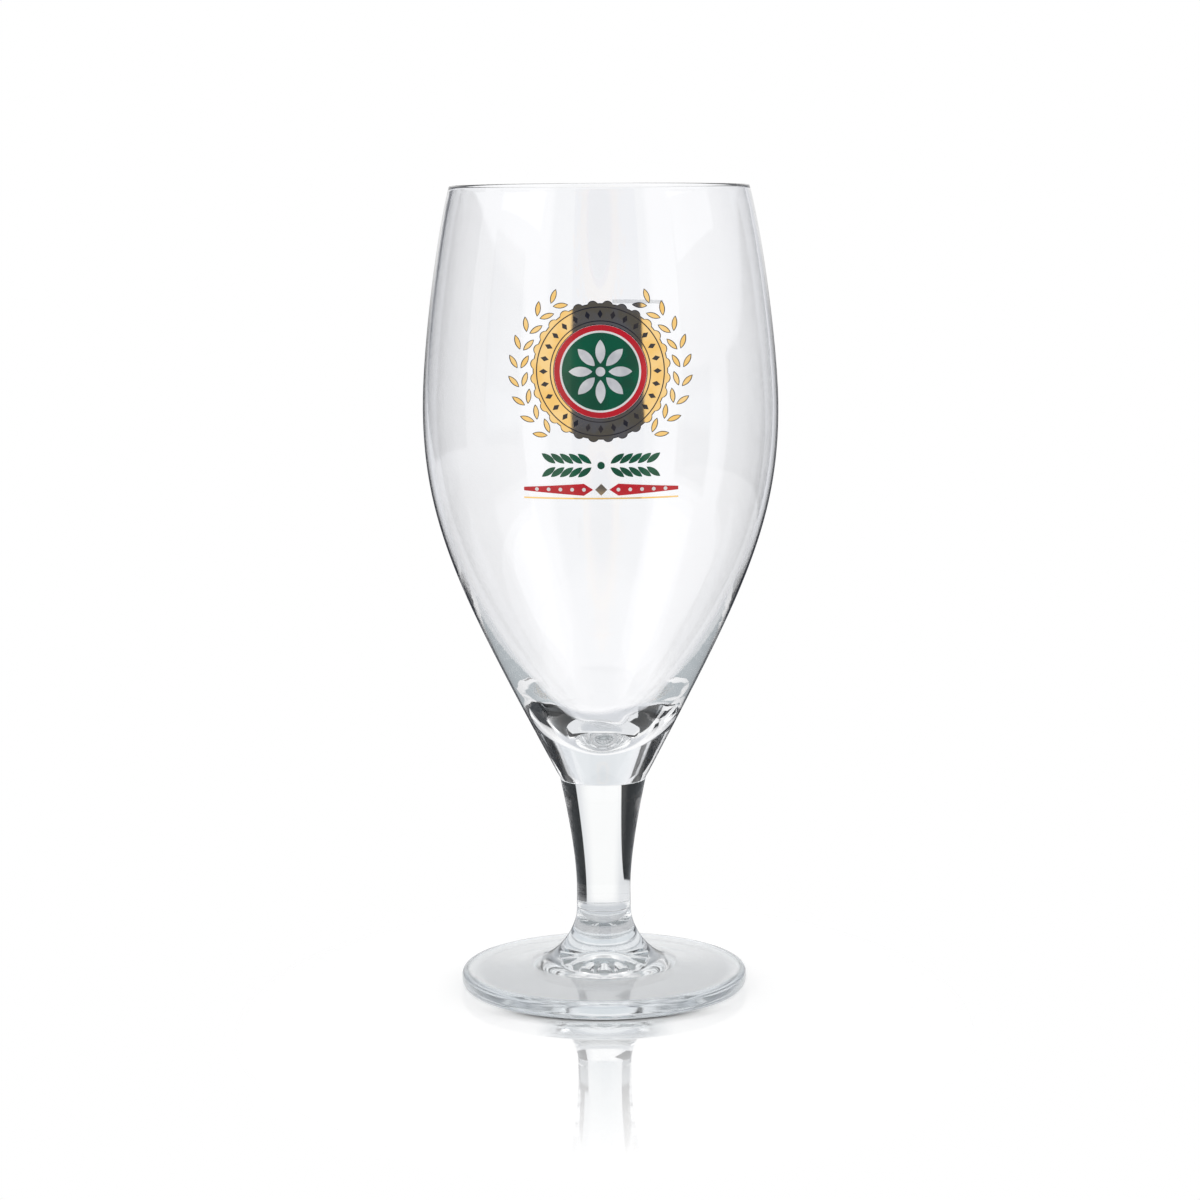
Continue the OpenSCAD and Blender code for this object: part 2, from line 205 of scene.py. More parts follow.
class StageSettings(bpy.types.PropertyGroup):
    """Camera, floor and light."""
    camera_x: length("Camera side", "Place of the camera to the side", -0.41)
    camera_back: length("Camera distance", "Distance of the camera in front of the axis", 715.6)
    camera_z: length("Camera height", "Height of the camera above the table", 191)
    camera_pitch: degrees("Camera pitch", "Angle of the view below the horizon", 8.15)
    camera_roll: degrees("Camera roll", "Turn of the camera about its view", -0.38)
    camera_lens: bpy.props.FloatProperty(
        name="Lens", description="Focal length in millimetres on a 36 mm sensor", default=96.54)
    floor_side: length("Floor width", "Half the width of the oval floor", 90)
    floor_long: length("Floor depth", "Half the depth of the oval floor", 118)
    floor_shift: length("Floor place", "Distance of the floor's middle in front of the axis", 28)
    # Reach of the occlusion that places the painted shade on the floor
    painted_contact_shade: length("Contact shadow", "Reach of the soft shadow where the foot meets the floor", 5)
    mirror_start: length("Mirror start", "Distance in front of the axis where it is strongest", 31)
    mirror_end: length("Mirror end", "Distance in front of the axis where it ends", 136)
    mirror: share("Mirror", "Share of the light that the floor mirrors where its image is strongest", 0.8)
    mirror_aside: share("Mirror beside", "Share of the mirror image that is left beside the stem", 0.15)
    glow: share("Floor glow", "Light that the floor gives out", 0.37)
    lamp_size: length("Lamp size", "Side of each square lamp", 800)
    lamp_power: bpy.props.FloatProperty(
        name="Lamp power", description="Power of each lamp in watts", default=1.1)


class RoomColours(bpy.types.PropertyGroup):
    """Tones of the floor, with the shade painted on it, and of the room that only the glass and the foil
    see.
    """
    room: colour("Room", "Light of the room on the floor and on dull surfaces", (0.75, 0.75, 0.75))
    veil: colour("Veil", "Pale grey on both sides of the white back", (0.8, 0.81, 0.83))
    ceiling: colour("Ceiling", "Pale grey above the white back", (0.78, 0.81, 0.83))
    card: colour("Card", "Dark cards that show as strips in stem and base", (0.01, 0.011, 0.012))
    card_low: colour("Low card", "Lower end of the cards that stand far to the side", (0.5, 0.55, 0.58))
    card_gap: colour("Card gap", "Stretch of the cards that the foot's flare sees", (0.4, 0.42, 0.44))
    card_top: colour("Card top", "Upper end of one card, which the thick base sees", (0.66, 0.69, 0.72))
    near: colour("Near side", "Room behind the camera", (0.5, 0.54, 0.56))
    far_gloss: colour("Far gloss", "Light that gloss meets beside and behind the camera", (0.97, 0.97, 1.0))
    side_gloss: colour("Side gloss", "Grey sides that gloss meets", (0.5, 0.52, 0.58))
    low_gloss: colour("Low gloss", "Lower part of the grey sides", (0.07, 0.075, 0.09))
    edge_gloss: colour("Edge gloss", "Dark edge of the white back", (0.06, 0.065, 0.08))
    camera_gloss: colour("Camera gloss", "Blue camera side, which the foil mirrors", (0.09, 0.13, 0.34))
    # Painted shade on the floor under the foot's disc and under its hollow
    painted_shade_under_foot: colour("Under the foot", "Shade of the floor under the foot's disc", (0.67, 0.67, 0.68))
    painted_shade_under_hollow: colour("Under the hollow", "Shade of the floor under the hollow", (0.28, 0.3, 0.31))
    # Painted contact shadow at the foot's front edge
    painted_contact_shade: colour("Contact", "Shade of the floor at the foot's front edge", (0.06, 0.06, 0.06))
    # Grey patch painted on the floor behind the foot that only glass sees: painted shade in the neck
    painted_shade_behind_foot: colour("Floor behind", "Floor behind the foot, as the neck shows it", (0.6, 0.62, 0.65))
    floor_worn: colour("Worn floor", "Floor where its white is a little duller", (0.99, 0.99, 0.99))


# Node trees

class Value:
    """A number in a node tree. Arithmetic with it adds Math nodes to the tree."""

    def __init__(self, graph, socket):
        self.graph = graph
        self.socket = socket

    def __add__(self, other):
        return self.graph.math("ADD", self, other)

    def __sub__(self, other):
        return self.graph.math("SUBTRACT", self, other)

    def __rsub__(self, other):
        return self.graph.math("SUBTRACT", other, self)

    def __mul__(self, other):
        return self.graph.math("MULTIPLY", self, other)

    def __truediv__(self, other):
        return self.graph.math("DIVIDE", self, other)

    __radd__ = __add__
    __rmul__ = __mul__


class Graph:
    """Adds nodes to a tree and wires them as they are added. Sockets go by name or by place."""

    def __init__(self, tree):
        self.tree = tree

    def plug(self, socket, value):
        value = getattr(value, "socket", value)
        if isinstance(value, bpy.types.NodeSocket):
            self.tree.links.new(value, socket)
        else:
            socket.default_value = value

    def node(self, kind, inputs=None, **settings):
        made = self.tree.nodes.new(kind)
        for name, value in settings.items():
            setattr(made, name, value)
        for key, value in (inputs or {}).items():
            self.plug(made.inputs[key], value)
        return made

    def math(self, operation, *values):
        made = self.node("ShaderNodeMath", dict(enumerate(values)), operation=operation)
        return Value(self, made.outputs[0])

    def ramp(self, value, start, end):
        """Rises softly from 0 at start to 1 at end."""
        made = self.node("ShaderNodeMapRange", {"Value": value, "From Min": start, "From Max": end},
                         interpolation_type="SMOOTHSTEP")
        return Value(self, made.outputs["Result"])

    def window(self, value, low, high, soft):
        """1 from low to high, with a soft fall to 0 on both sides."""
        return self.ramp(value, low - soft, low) * (1.0 - self.ramp(value, high, high + soft))

    def mix(self, factor, a, b):
        """A mix of two colours, which are the node's sockets 6 and 7."""
        made = self.node("ShaderNodeMix", {0: factor, 6: a, 7: b}, data_type="RGBA")
        return made.outputs[2]

    def vector(self, x, y, z):
        return self.node("ShaderNodeCombineXYZ", {"X": x, "Y": y, "Z": z}).outputs[0]

    def parts(self, vector):
        split = self.node("ShaderNodeSeparateXYZ", {0: vector})
        return [Value(self, socket) for socket in split.outputs]

    def noise(self, vector, scale, seed, detail=2.0, roughness=0.5):
        made = self.node("ShaderNodeTexNoise", {
            "Vector": vector, "W": seed, "Scale": scale, "Detail": detail, "Roughness": roughness},
            noise_dimensions="4D")
        return Value(self, made.outputs[0])


def new_tree(name, kind, inputs, outputs):
    """A node group with named sockets, and its Graph, input and output nodes."""
    tree = bpy.data.node_groups.new(name, kind)
    for way, sockets in (("INPUT", inputs), ("OUTPUT", outputs)):
        for label, socket in sockets.items():
            tree.interface.new_socket(label, in_out=way, socket_type="NodeSocket" + socket)
    graph = Graph(tree)
    given = {s.name: s for s in graph.node("NodeGroupInput").outputs}
    return tree, graph, given, graph.node("NodeGroupOutput")


def named(graph, name):
    return graph.node("GeometryNodeInputNamedAttribute", {"Name": name}, data_type="FLOAT").outputs[0]


def realized(graph, geometry):
    return graph.node("GeometryNodeRealizeInstances", {"Geometry": geometry}).outputs[0]


def merged(graph, geometry):
    return graph.node("GeometryNodeMergeByDistance", {"Geometry": geometry, "Distance": MERGE}).outputs[0]


def smooth_faces(graph, geometry):
    """Smooth shading, with edges kept sharp where the faces meet at a steep angle."""
    angle = graph.node("GeometryNodeInputMeshEdgeAngle").outputs["Unsigned Angle"]
    soft = graph.math("LESS_THAN", angle, SHARP_EDGE)
    faces = graph.node("GeometryNodeSetShadeSmooth",
                       {"Geometry": geometry, "Shade Smooth": True}, domain="FACE")
    edges = graph.node("GeometryNodeSetShadeSmooth",
                       {"Geometry": faces.outputs[0], "Shade Smooth": soft}, domain="EDGE")
    return edges.outputs[0]


def turned_tree():
    """Turns rows of an outline round the axis, presses flutes into the hollow and ripples the thick base."""
    tree, graph, given, result = new_tree(
        "turned_glass", "GeometryNodeTree",
        {"Geometry": "Geometry", "Segments": "Int", "Ripple Height": "Float", "Ripple Length": "Float",
         "Seed": "Float", "Flutes": "Int", "Flute Radius": "Float", "Flute Apex": "Float",
         "Hollow Radius": "Float", "Hollow Level": "Float", "Glass": "Material", "Joint": "Material"},
        {"Geometry": "Geometry"})
    outline = given["Geometry"]
    rows = graph.node("GeometryNodeAttributeDomainSize", {"Geometry": outline}).outputs["Point Count"]
    columns = graph.math("ADD", given["Segments"], 1)
    grid = graph.node("GeometryNodeMeshGrid", {"Vertices X": rows, "Vertices Y": columns})
    index = graph.node("GeometryNodeInputIndex").outputs[0]
    row = graph.math("FLOOR", graph.math("DIVIDE", graph.math("ADD", index, 0.5), columns))
    index_in_row = graph.math("SUBTRACT", index, row * columns)

    def sampled(value, kind):
        return graph.node("GeometryNodeSampleIndex", {"Geometry": outline, "Value": value, "Index": row},
                          data_type=kind).outputs[0]

    position = graph.node("GeometryNodeInputPosition").outputs[0]
    kept = grid.outputs["Mesh"]
    for name in MARKS:
        kept = graph.node("GeometryNodeStoreNamedAttribute",
                          {"Geometry": kept, "Name": name, "Value": sampled(named(graph, name), "FLOAT")},
                          data_type="FLOAT", domain="POINT").outputs[0]
    radius, _, level = graph.parts(sampled(position, "FLOAT_VECTOR"))
    turn = index_in_row * math.tau / given["Segments"]

    pitch = graph.math("DIVIDE", math.tau, given["Flutes"])
    off = graph.math("WRAP", turn, pitch * 0.5, pitch * -0.5)
    along = radius * graph.math("COSINE", off)
    aside = radius * graph.math("SINE", off)
    drop = graph.math("DIVIDE", graph.math("SUBTRACT", given["Flute Apex"], given["Hollow Level"]),
                      given["Hollow Radius"])
    reach = along / given["Hollow Radius"] * given["Flute Radius"]
    rise = graph.math("SQRT", graph.math("MAXIMUM", reach * reach - aside * aside, 0.0))
    flute = graph.math("SUBTRACT", given["Flute Apex"], along * drop) + rise
    hollow = graph.math("GREATER_THAN", sampled(named(graph, "hollow"), "FLOAT"), 0.5)
    level = level + hollow * graph.math("MAXIMUM", flute - level, 0.0)

    place = graph.vector(radius * graph.math("COSINE", turn), radius * graph.math("SINE", turn), level)
    shaped = graph.node("GeometryNodeSetPosition", {"Geometry": kept, "Position": place}).outputs[0]
    wave = graph.noise(position, graph.math("DIVIDE", 1.0, given["Ripple Length"]), given["Seed"],
                       detail=1.0, roughness=0.4)
    height = (wave - 0.5) * 2.0 * given["Ripple Height"] * named(graph, "ripple")
    normal = graph.node("GeometryNodeInputNormal").outputs[0]
    push = graph.node("ShaderNodeVectorMath", {0: normal, "Scale": height}, operation="SCALE").outputs[0]
    rippled = graph.node("GeometryNodeSetPosition",
                         {"Geometry": merged(graph, shaped), "Offset": push}).outputs[0]
    whole = realized(graph, smooth_faces(graph, rippled))
    glass = graph.node("GeometryNodeSetMaterial", {"Geometry": whole, "Material": given["Glass"]}).outputs[0]
    cap = graph.math("GREATER_THAN", named(graph, "cap"), 0.99)
    done = graph.node("GeometryNodeSetMaterial",
                      {"Geometry": glass, "Selection": cap, "Material": given["Joint"]}).outputs[0]
    graph.plug(result.inputs["Geometry"], done)
    return tree


def print_tree():
    """Repeats a flat motif on the given points, gives it its thickness and lays it on the bowl's wall."""
    tree, graph, given, result = new_tree(
        "print_on_wall", "GeometryNodeTree",
        {"Geometry": "Geometry", "Motif": "Object", "Wall": "Object", "Level": "Float", "Start": "Float",
         "Thickness": "Float", "Facing": "Float", "Ink": "Material"},
        {"Geometry": "Geometry"})
    motif = graph.node("GeometryNodeObjectInfo", {"Object": given["Motif"]}).outputs["Geometry"]
    wall = graph.node("GeometryNodeObjectInfo", {"Object": given["Wall"]}).outputs["Geometry"]
    turn = graph.vector(0.0, 0.0, named(graph, "turn"))
    copies = graph.node("GeometryNodeInstanceOnPoints",
                        {"Points": given["Geometry"], "Instance": motif, "Rotation": turn}).outputs[0]
    flat = merged(graph, realized(graph, copies))
    top = graph.node("GeometryNodeExtrudeMesh",
                     {"Mesh": flat, "Offset Scale": given["Thickness"], "Individual": False},
                     mode="FACES").outputs["Mesh"]
    back = graph.node("GeometryNodeFlipFaces", {"Mesh": flat}).outputs[0]
    both = graph.node("GeometryNodeJoinGeometry")
    graph.plug(both.inputs[0], top)
    graph.plug(both.inputs[0], back)
    slab = merged(graph, both.outputs[0])

    across, up, height = graph.parts(graph.node("GeometryNodeInputPosition").outputs[0])
    level = up + given["Level"]
    hit = graph.node("GeometryNodeRaycast",
                     {"Target Geometry": wall, "Source Position": graph.vector(0.0, 0.0, level),
                      "Ray Direction": (1.0, 0.0, 0.0), "Ray Length": 1.0}).outputs["Hit Position"]
    radius = graph.parts(hit)[0] + given["Start"] + height
    depth = graph.math("SQRT", radius * radius - across * across)
    place = graph.vector(across, depth * -1.0, level)
    faced = graph.node("ShaderNodeVectorRotate", {"Vector": place, "Angle": given["Facing"]},
                       rotation_type="Z_AXIS").outputs[0]
    laid = graph.node("GeometryNodeSetPosition", {"Geometry": slab, "Position": faced}).outputs[0]
    whole = realized(graph, smooth_faces(graph, laid))
    inked = graph.node("GeometryNodeSetMaterial", {"Geometry": whole, "Material": given["Ink"]}).outputs[0]
    graph.plug(result.inputs["Geometry"], inked)
    return tree


def evaluated(base, tree, inputs):
    """The plain mesh that a node tree makes from a base mesh, with the modifier removed again."""
    holder = bpy.data.objects.new(base.name, base)
    bpy.context.scene.collection.objects.link(holder)
    modifier = holder.modifiers.new(tree.name, "NODES")
    modifier.node_group = tree
    for item in tree.interface.items_tree:
        if item.in_out == "INPUT" and item.name in inputs:
            modifier[item.identifier] = inputs[item.name]
    graph = bpy.context.evaluated_depsgraph_get()
    mesh = bpy.data.meshes.new_from_object(holder.evaluated_get(graph), depsgraph=graph)
    holder.modifiers.remove(modifier)
    bpy.data.objects.remove(holder)
    return mesh


def piece(name, mesh, node):
    """Puts a finished mesh in the scene as a piece that stands for its CAD node."""
    mesh.name = name
    made = bpy.data.objects.new(name, mesh)
    bpy.context.scene.collection.objects.link(made)
    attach(made, "root")
    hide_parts(node)
    return made


# Glass

def curve_point(a, b, c, d, t):
    """Point at a share t of the curve from a to d that is pulled towards b and c."""
    return (1 - t) ** 3 * a + 3 * (1 - t) ** 2 * t * b + 3 * (1 - t) * t * t * c + t ** 3 * d


def shares(steps):
    """Even shares of a way, from the first step to 1."""
    return np.linspace(0, 1, steps + 1)[1:]


def curve(a, b, c, d, steps):
    """Points of that curve, without the first one."""
    a, b, c, d = (np.array(p, dtype=float) for p in (a, b, c, d))
    return [curve_point(a, b, c, d, t) for t in shares(steps)]


def round_edge(centre, radius, start, end, steps=10):
    """Points of a rounding about a centre, from one angle to another in degrees."""
    turns = np.radians(np.linspace(start, end, steps + 1))
    return [np.array(centre) + radius * np.array([math.cos(t), math.sin(t)]) for t in turns]


def span(a, b, steps):
    """Points of a straight run from a to b, without the first one."""
    a, b = np.array(a, dtype=float), np.array(b, dtype=float)
    return [a + (b - a) * t for t in shares(steps)]


class BowlCurves:
    """The bowl's outer and inner curves, in radius and height.

    A curve's ends are pulled by a share of its height. A slope is what the wall gains in radius for each
    unit of height at the curve's far end. The cavity leaves the wall at a share of the lower curve.
    """
    shoulder_pull, rim_pull, rim_slope = 0.26, 0.2, 0.276
    belly_pull, cone_pull, cone_slope = 0.318, 0.484, 0.519
    cavity_start, cavity_pull, cavity_round = 0.45, 0.43, 0.24

    def __init__(self, s):
        shoulder_h = s.rim_z - s.seam_z - s.belly_h
        self.seam = np.array([s.seam_d / 2, s.seam_z])
        self.belly = np.array([s.belly_d / 2, s.seam_z + s.belly_h])
        self.rim = np.array([s.rim_d / 2, s.rim_z - s.rim_t / 2])
        self.lower = (self.belly, self.belly - [0, self.belly_pull * s.belly_h],
                      self.seam + self.cone_pull * s.belly_h * np.array([self.cone_slope, 1]), self.seam)
        self.upper = (self.belly, self.belly + [0, self.shoulder_pull * shoulder_h],
                      self.rim + self.rim_pull * shoulder_h * np.array([self.rim_slope, -1]), self.rim)
        self.sizes = s

    def lower_wall(self, t):
        return curve_point(*self.lower, t)

    def upper_wall(self, t):
        return curve_point(*self.upper, t)

    def lower_inside(self, t):
        s = self.sizes
        return self.lower_wall(t) - [s.wall_t + (s.low_wall_t - s.wall_t) * (t / self.cavity_start) ** 2, 0]

    def upper_inside(self, t):
        s = self.sizes
        return self.upper_wall(t) - [s.wall_t + (s.rim_t - s.wall_t) * t, 0]

    def cavity(self, steps, nudge=0.001):
        """Points of the cavity down to the axis. A nudge each way gives the slope of the wall above it."""
        start = self.lower_inside(self.cavity_start)
        end = np.array([0, self.sizes.seam_z + self.sizes.base_t])
        fall = start[1] - end[1]
        way = self.lower_inside(self.cavity_start + nudge) - self.lower_inside(self.cavity_start - nudge)
        pull = start + self.cavity_pull * fall * way / np.linalg.norm(way)
        return curve(start, pull, end + [self.cavity_round * fall, 0], end, steps)


def outline_mesh(name, rows):
    """A mesh of loose points, one for each row of (radius, height, ripple, cap, hollow, outside)."""
    rows = np.array(rows)
    mesh = bpy.data.meshes.new(name)
    mesh.from_pydata([(r, 0, z) for r, z in rows[:, :2]], [], [])
    for column, mark in enumerate(MARKS, start=2):
        mesh.attributes.new(mark, "FLOAT", "POINT").data.foreach_set("value", rows[:, column].copy())
    return mesh


def marked(points, ripple=lambda p: 0.0, cap=0.0, hollow=0.0, outside=0.0):
    """Rows for an outline mesh from points that share their marks."""
    return [(p[0], p[1], ripple(p), cap, hollow, outside) for p in points]


def bowl_rows(s, waves_reach=3.6, waves_fade=1.6, outer_share=0.25):
    """Rows of the bowl's section. Its waves reach up and fade over multiples of the base's thickness."""
    curves = BowlCurves(s)
    wave_top = s.seam_z + waves_reach * s.base_t

    def inner_waves(p):
        return float(np.clip((wave_top - p[1]) / (waves_fade * s.base_t), 0, 1))

    def outer_waves(p):
        return outer_share * inner_waves(p) * float(np.clip((p[1] - s.seam_z) / s.base_t, 0, 1))

    lower = [curves.lower_wall(1 - t) for t in shares(60)]
    upper = [curves.upper_wall(t) for t in shares(40)[:-1]]
    upper_inside = [curves.upper_inside(1 - t) for t in shares(40)]
    lower_inside = [curves.lower_inside(curves.cavity_start * t) for t in shares(30)]
    start = (s.seam_d / 2 - s.groove, s.seam_z)
    return (marked([(0, s.seam_z), start], cap=1.0)
            + marked([curves.seam + [0, s.groove]])
            + marked(lower, outer_waves, outside=1.0)
            + marked(upper, outside=1.0)
            + marked(round_edge(curves.rim - [s.rim_t / 2, 0], s.rim_t / 2, 0, 180))
            + marked(upper_inside)
            + marked(lower_inside, inner_waves)
            + marked(curves.cavity(60), inner_waves))


def stem_rows(s, neck_pull=0.15, top_pull=0.67, top_slope=0.212):
    """Rows of the stem's section. Its side is pulled at both ends by a share of the stem's length."""
    stem_l = s.seam_z - s.neck_z
    neck = np.array([s.neck_d / 2, s.neck_z + s.groove])
    top = np.array([s.seam_d / 2, s.seam_z - s.groove])
    side = curve(neck, neck + [0, neck_pull * stem_l],
                 top - top_pull * stem_l * np.array([top_slope, 1]), top, 60)
    return (marked([(0, s.neck_z), (s.neck_d / 2 - s.groove, s.neck_z)], cap=1.0)
            + marked([neck])
            + marked(side, outside=1.0)
            + marked([(s.seam_d / 2 - s.groove, s.seam_z), (0, s.seam_z)], cap=1.0))


def foot_rows(s, neck_pull=0.47, flare_pull=0.49, ring_rise=0.35, hollow_side=0.45, hollow_top=0.4):
    """Rows of the foot's section: neck, flare, disc, rounded edge, resting ring, underside and hollow."""
    neck = np.array([s.neck_d / 2, s.neck_z - s.groove])
    run_out = np.array([s.flare_r, s.flare_h])
    disc_edge = np.array([s.foot_d / 2 - s.edge_top_r, s.edge_h])
    disc_slope = (s.flare_h - s.edge_h) / (disc_edge[0] - s.flare_r)
    flare_back = flare_pull * (s.flare_r - s.neck_d / 2)
    flare = curve(neck, neck - [0, neck_pull * (s.neck_z - s.flare_h)],
                  run_out + flare_back * np.array([-1, disc_slope]), run_out, 50)
    top_edge = round_edge(disc_edge - [0, s.edge_top_r], s.edge_top_r, 90, 0)
    ring_out = s.foot_d / 2 - s.edge_low_r
    low_edge = round_edge((ring_out, s.edge_low_r), s.edge_low_r, 0, -90)
    ring_in = np.array([ring_out - s.ring_w, 0])
    hollow_edge = np.array([s.hollow_d / 2, s.under_h])
    crown = np.array([0, s.hollow_h])
    under = curve(ring_in, ring_in - [s.ring_w, 0], hollow_edge + [s.ring_w / ring_rise, 0], hollow_edge, 30)
    hollow = curve(hollow_edge, hollow_edge + hollow_side * (crown - hollow_edge),
                   crown + [hollow_top * s.hollow_d / 2, 0], crown, 40)
    return (marked([(0, s.neck_z), (s.neck_d / 2 - s.groove, s.neck_z)], cap=1.0)
            + marked([neck])
            + marked(flare)
            + marked(span(run_out, disc_edge, 16))
            + marked(top_edge[1:])
            + marked(low_edge)
            + marked([ring_in])
            + marked(under)
            + marked(hollow, hollow=1.0))


def turned_piece(name, rows, glass, node, flute_apex=0.86):
    """Turns rows into a glass piece. The flutes meet at a share of the hollow's height."""
    s = bpy.context.scene.glass_sizes
    mesh = evaluated(outline_mesh(name, rows), shared_tree(turned_tree, "turned_glass"), {
        "Segments": s.segments, "Ripple Height": s.ripple_h, "Ripple Length": s.ripple_l,
        "Seed": float(SEED), "Flutes": s.flutes, "Flute Radius": s.flute_r,
        "Flute Apex": flute_apex * s.hollow_h, "Hollow Radius": s.hollow_d / 2, "Hollow Level": s.under_h,
        "Glass": glass, "Joint": joint_material(),
    })
    outward(mesh)
    return piece(name, mesh, node)


def outward(mesh):
    """Turns the faces of a closed mesh outwards."""
    shape = bmesh.new()
    shape.from_mesh(mesh)
    bmesh.ops.recalc_face_normals(shape, faces=shape.faces)
    shape.to_mesh(mesh)
    shape.free()


def shared_tree(make, name):
    return bpy.data.node_groups.get(name) or make()


# Print

def patch(name, place, along, across):
    """A flat grid of faces, where place(u, v) gives a point for u and v from 0 to 1."""
    points = [(*place(i / along, j / across), 0.0) for i in range(along + 1) for j in range(across + 1)]
    row = across + 1
    faces = [(i * row + j, (i + 1) * row + j, (i + 1) * row + j + 1, i * row + j + 1)
             for i in range(along) for j in range(across)]
    mesh = bpy.data.meshes.new(name)
    mesh.from_pydata(points, [], faces)
    shape = bmesh.new()
    shape.from_mesh(mesh)
    bmesh.ops.remove_doubles(shape, verts=shape.verts, dist=MERGE)
    for face in shape.faces:
        if face.normal.z < 0:
            face.normal_flip()
    shape.to_mesh(mesh)
    shape.free()
    return mesh


def polar(radius, turn):
    return radius * math.cos(turn), radius * math.sin(turn)


def ring(name, inner, outer, across=1, along=168):
    """A flat ring. inner and outer are radii, or give a radius for an angle."""
    inside = inner if callable(inner) else lambda turn: inner
    outside = outer if callable(outer) else lambda turn: outer

    def place(u, v):
        turn = math.tau * u
        return polar(inside(turn) + (outside(turn) - inside(turn)) * v, turn)
    return patch(name, place, along, across)


def leaf_half(x, long, wide):
    """Half the width of a leaf at a distance from its foot."""
    bend = (long * long + wide * wide) / (4 * wide)
    return max(math.sqrt(bend * bend - (x - long / 2) ** 2) - (bend - wide / 2), 0.0)


def leaf(name, long, wide):
    """A pointed leaf along X, from the origin to its tip."""
    def place(u, v):
        x = long * u
        return x, (2 * v - 1) * leaf_half(x, long, wide)
    return patch(name, place, along=14, across=6)


def leaf_outline(name, long, wide, line):
    """The outline of the same leaf, as a closed strip inside its edge."""
    def place(u, v):
        side = 1 if u < 0.5 else -1
        x = long * (2 * u if u < 0.5 else 2 - 2 * u)
        half = leaf_half(x, long, wide)
        inner = max(half - line, 0.0)
        return x, side * (inner + (half - inner) * v)
    return patch(name, place, along=28, across=1)


def bar(name, long, nose, wide, tip):
    """Half of a pair of bars along X: pointed at the foot, full after the nose, slim at the far end."""
    def place(u, v):
        x = long * u
        half = wide / 2 * x / nose if x < nose else wide / 2 + (tip - wide) / 2 * (x - nose) / (long - nose)
        return x, (2 * v - 1) * half
    return patch(name, place, along=60, across=6)


def lozenge(name, long, wide):
    def place(u, v):
        return long * (u - 0.5), wide * (v - 0.5) * (1 - abs(2 * u - 1))
    return patch(name, place, along=6, across=2)


def rectangle(name, wide, high, face_w=0.4 * MM):
    def place(u, v):
        return wide * (u - 0.5), high * (v - 0.5)
    return patch(name, place, along=max(1, round(wide / face_w)), across=2)


def disc(name, radius, across=3, along=48):
    return ring(name, 0.0, radius, across, along)


def places(name, spots):
    """A mesh of loose points from (x, y, turn), where turn is the angle of the motif on that point."""
    mesh = bpy.data.meshes.new(name)
    mesh.from_pydata([(x, y, 0) for x, y, _ in spots], [], [])
    mesh.attributes.new("turn", "FLOAT", "POINT").data.foreach_set("value", [turn for _, _, turn in spots])
    return mesh


CENTRE = ((0.0, 0.0, 0.0),)


def wall_object():
    """A narrow ribbon along the bowl's outer curve, on which the print is laid."""
    found = bpy.data.objects.get("wall_guide")
    if found:
        return found
    curves = BowlCurves(bpy.context.scene.glass_sizes)
    points = [curves.seam]
    points += [curves.lower_wall(1 - t) for t in shares(600)] + [curves.upper_wall(t) for t in shares(600)]
    verts = [(r, side, z) for r, z in points for side in (-MM, MM)]
    faces = [(2 * i, 2 * i + 1, 2 * i + 3, 2 * i + 2) for i in range(len(points) - 1)]
    mesh = bpy.data.meshes.new("wall_guide")
    mesh.from_pydata(verts, [], faces)
    return bpy.data.objects.new("wall_guide", mesh)


def print_piece(name, node, ink, parts, drop=None, facing=0.0):
    """Joins flat motifs, given as (motif, spots, start, thickness), into one fired layer on the wall."""
    sizes = bpy.context.scene.print_sizes
    drop = sizes.medal_drop if drop is None else drop
    tree = shared_tree(print_tree, "print_on_wall")
    shape = bmesh.new()
    for motif, spots, start, thickness in parts:
        carrier = bpy.data.objects.new(motif.name, motif)
        mesh = evaluated(places(name, spots), tree, {
            "Motif": carrier, "Wall": wall_object(), "Level": bpy.context.scene.glass_sizes.rim_z - drop,
            "Start": start, "Thickness": thickness, "Facing": facing, "Ink": ink,
        })
        shape.from_mesh(mesh)
        bpy.data.objects.remove(carrier)
    whole = bpy.data.meshes.new(name)
    shape.to_mesh(whole)
    shape.free()
    whole.materials.append(ink)
    return piece(name, whole, node)


def band_edge(p):
    """Radius of the gold band's lobed outer edge for an angle."""
    pitch = math.tau / p.lobes
    middle = p.medal_d / 2 - p.lobe_r / 2

    def edge(turn):
        off = (turn % pitch) - pitch / 2
        inside = p.lobe_r ** 2 - (middle * math.sin(off)) ** 2
        lobe = middle * math.cos(off) + math.sqrt(inside) if inside > 0 else 0.0
        return max(lobe, p.medal_d / 2)
    return edge


def spray_spots(p):
    """Places of the gold leaves on both sides of the medallion."""
    spots = []
    for side in (0, 1):
        for i in range(p.leaf_pairs):
            turn = p.spray_angle * (i / (p.leaf_pairs - 1) - 0.5)
            for lean in (-p.leaf_turn, p.leaf_turn):
                heading = turn + math.pi / 2 + lean
                step = p.clear + p.leaf_w / 2
                x = p.spray_r * math.cos(turn) + step * math.cos(heading)
                y = p.spray_r * math.sin(turn) + step * math.sin(heading)
                spots.append((-x, y, math.pi - heading) if side else (x, y, heading))
    return spots


def sprig_spots(p):
    """Places of the green leaves on both halves of the sprig."""
    start = p.sprig_dot_d / 2 + p.sprig_leaf_w / 2
    step = (p.sprig_w / 2 - p.sprig_leaf_l * math.cos(p.sprig_turn) - start) / (p.sprig_pairs - 1)
    spots = []
    for i in range(p.sprig_pairs):
        for turn in (-p.sprig_turn, p.sprig_turn):
            reach = p.clear + p.sprig_leaf_w / 2
            x = start + step * i + reach * math.cos(turn)
            y = -p.sprig_drop + reach * math.sin(turn)
            spots += [(x, y, turn), (-x, y, math.pi - turn)]
    return spots


def ring_spots(radius, number):
    turns = [math.tau * i / number for i in range(number)]
    return [(*polar(radius, turn), turn) for turn in turns]


def bar_nose(p):
    """Distance from the foot of a bar to its full height, which is also where its first dot lies."""
    return 0.75 * p.bar_h


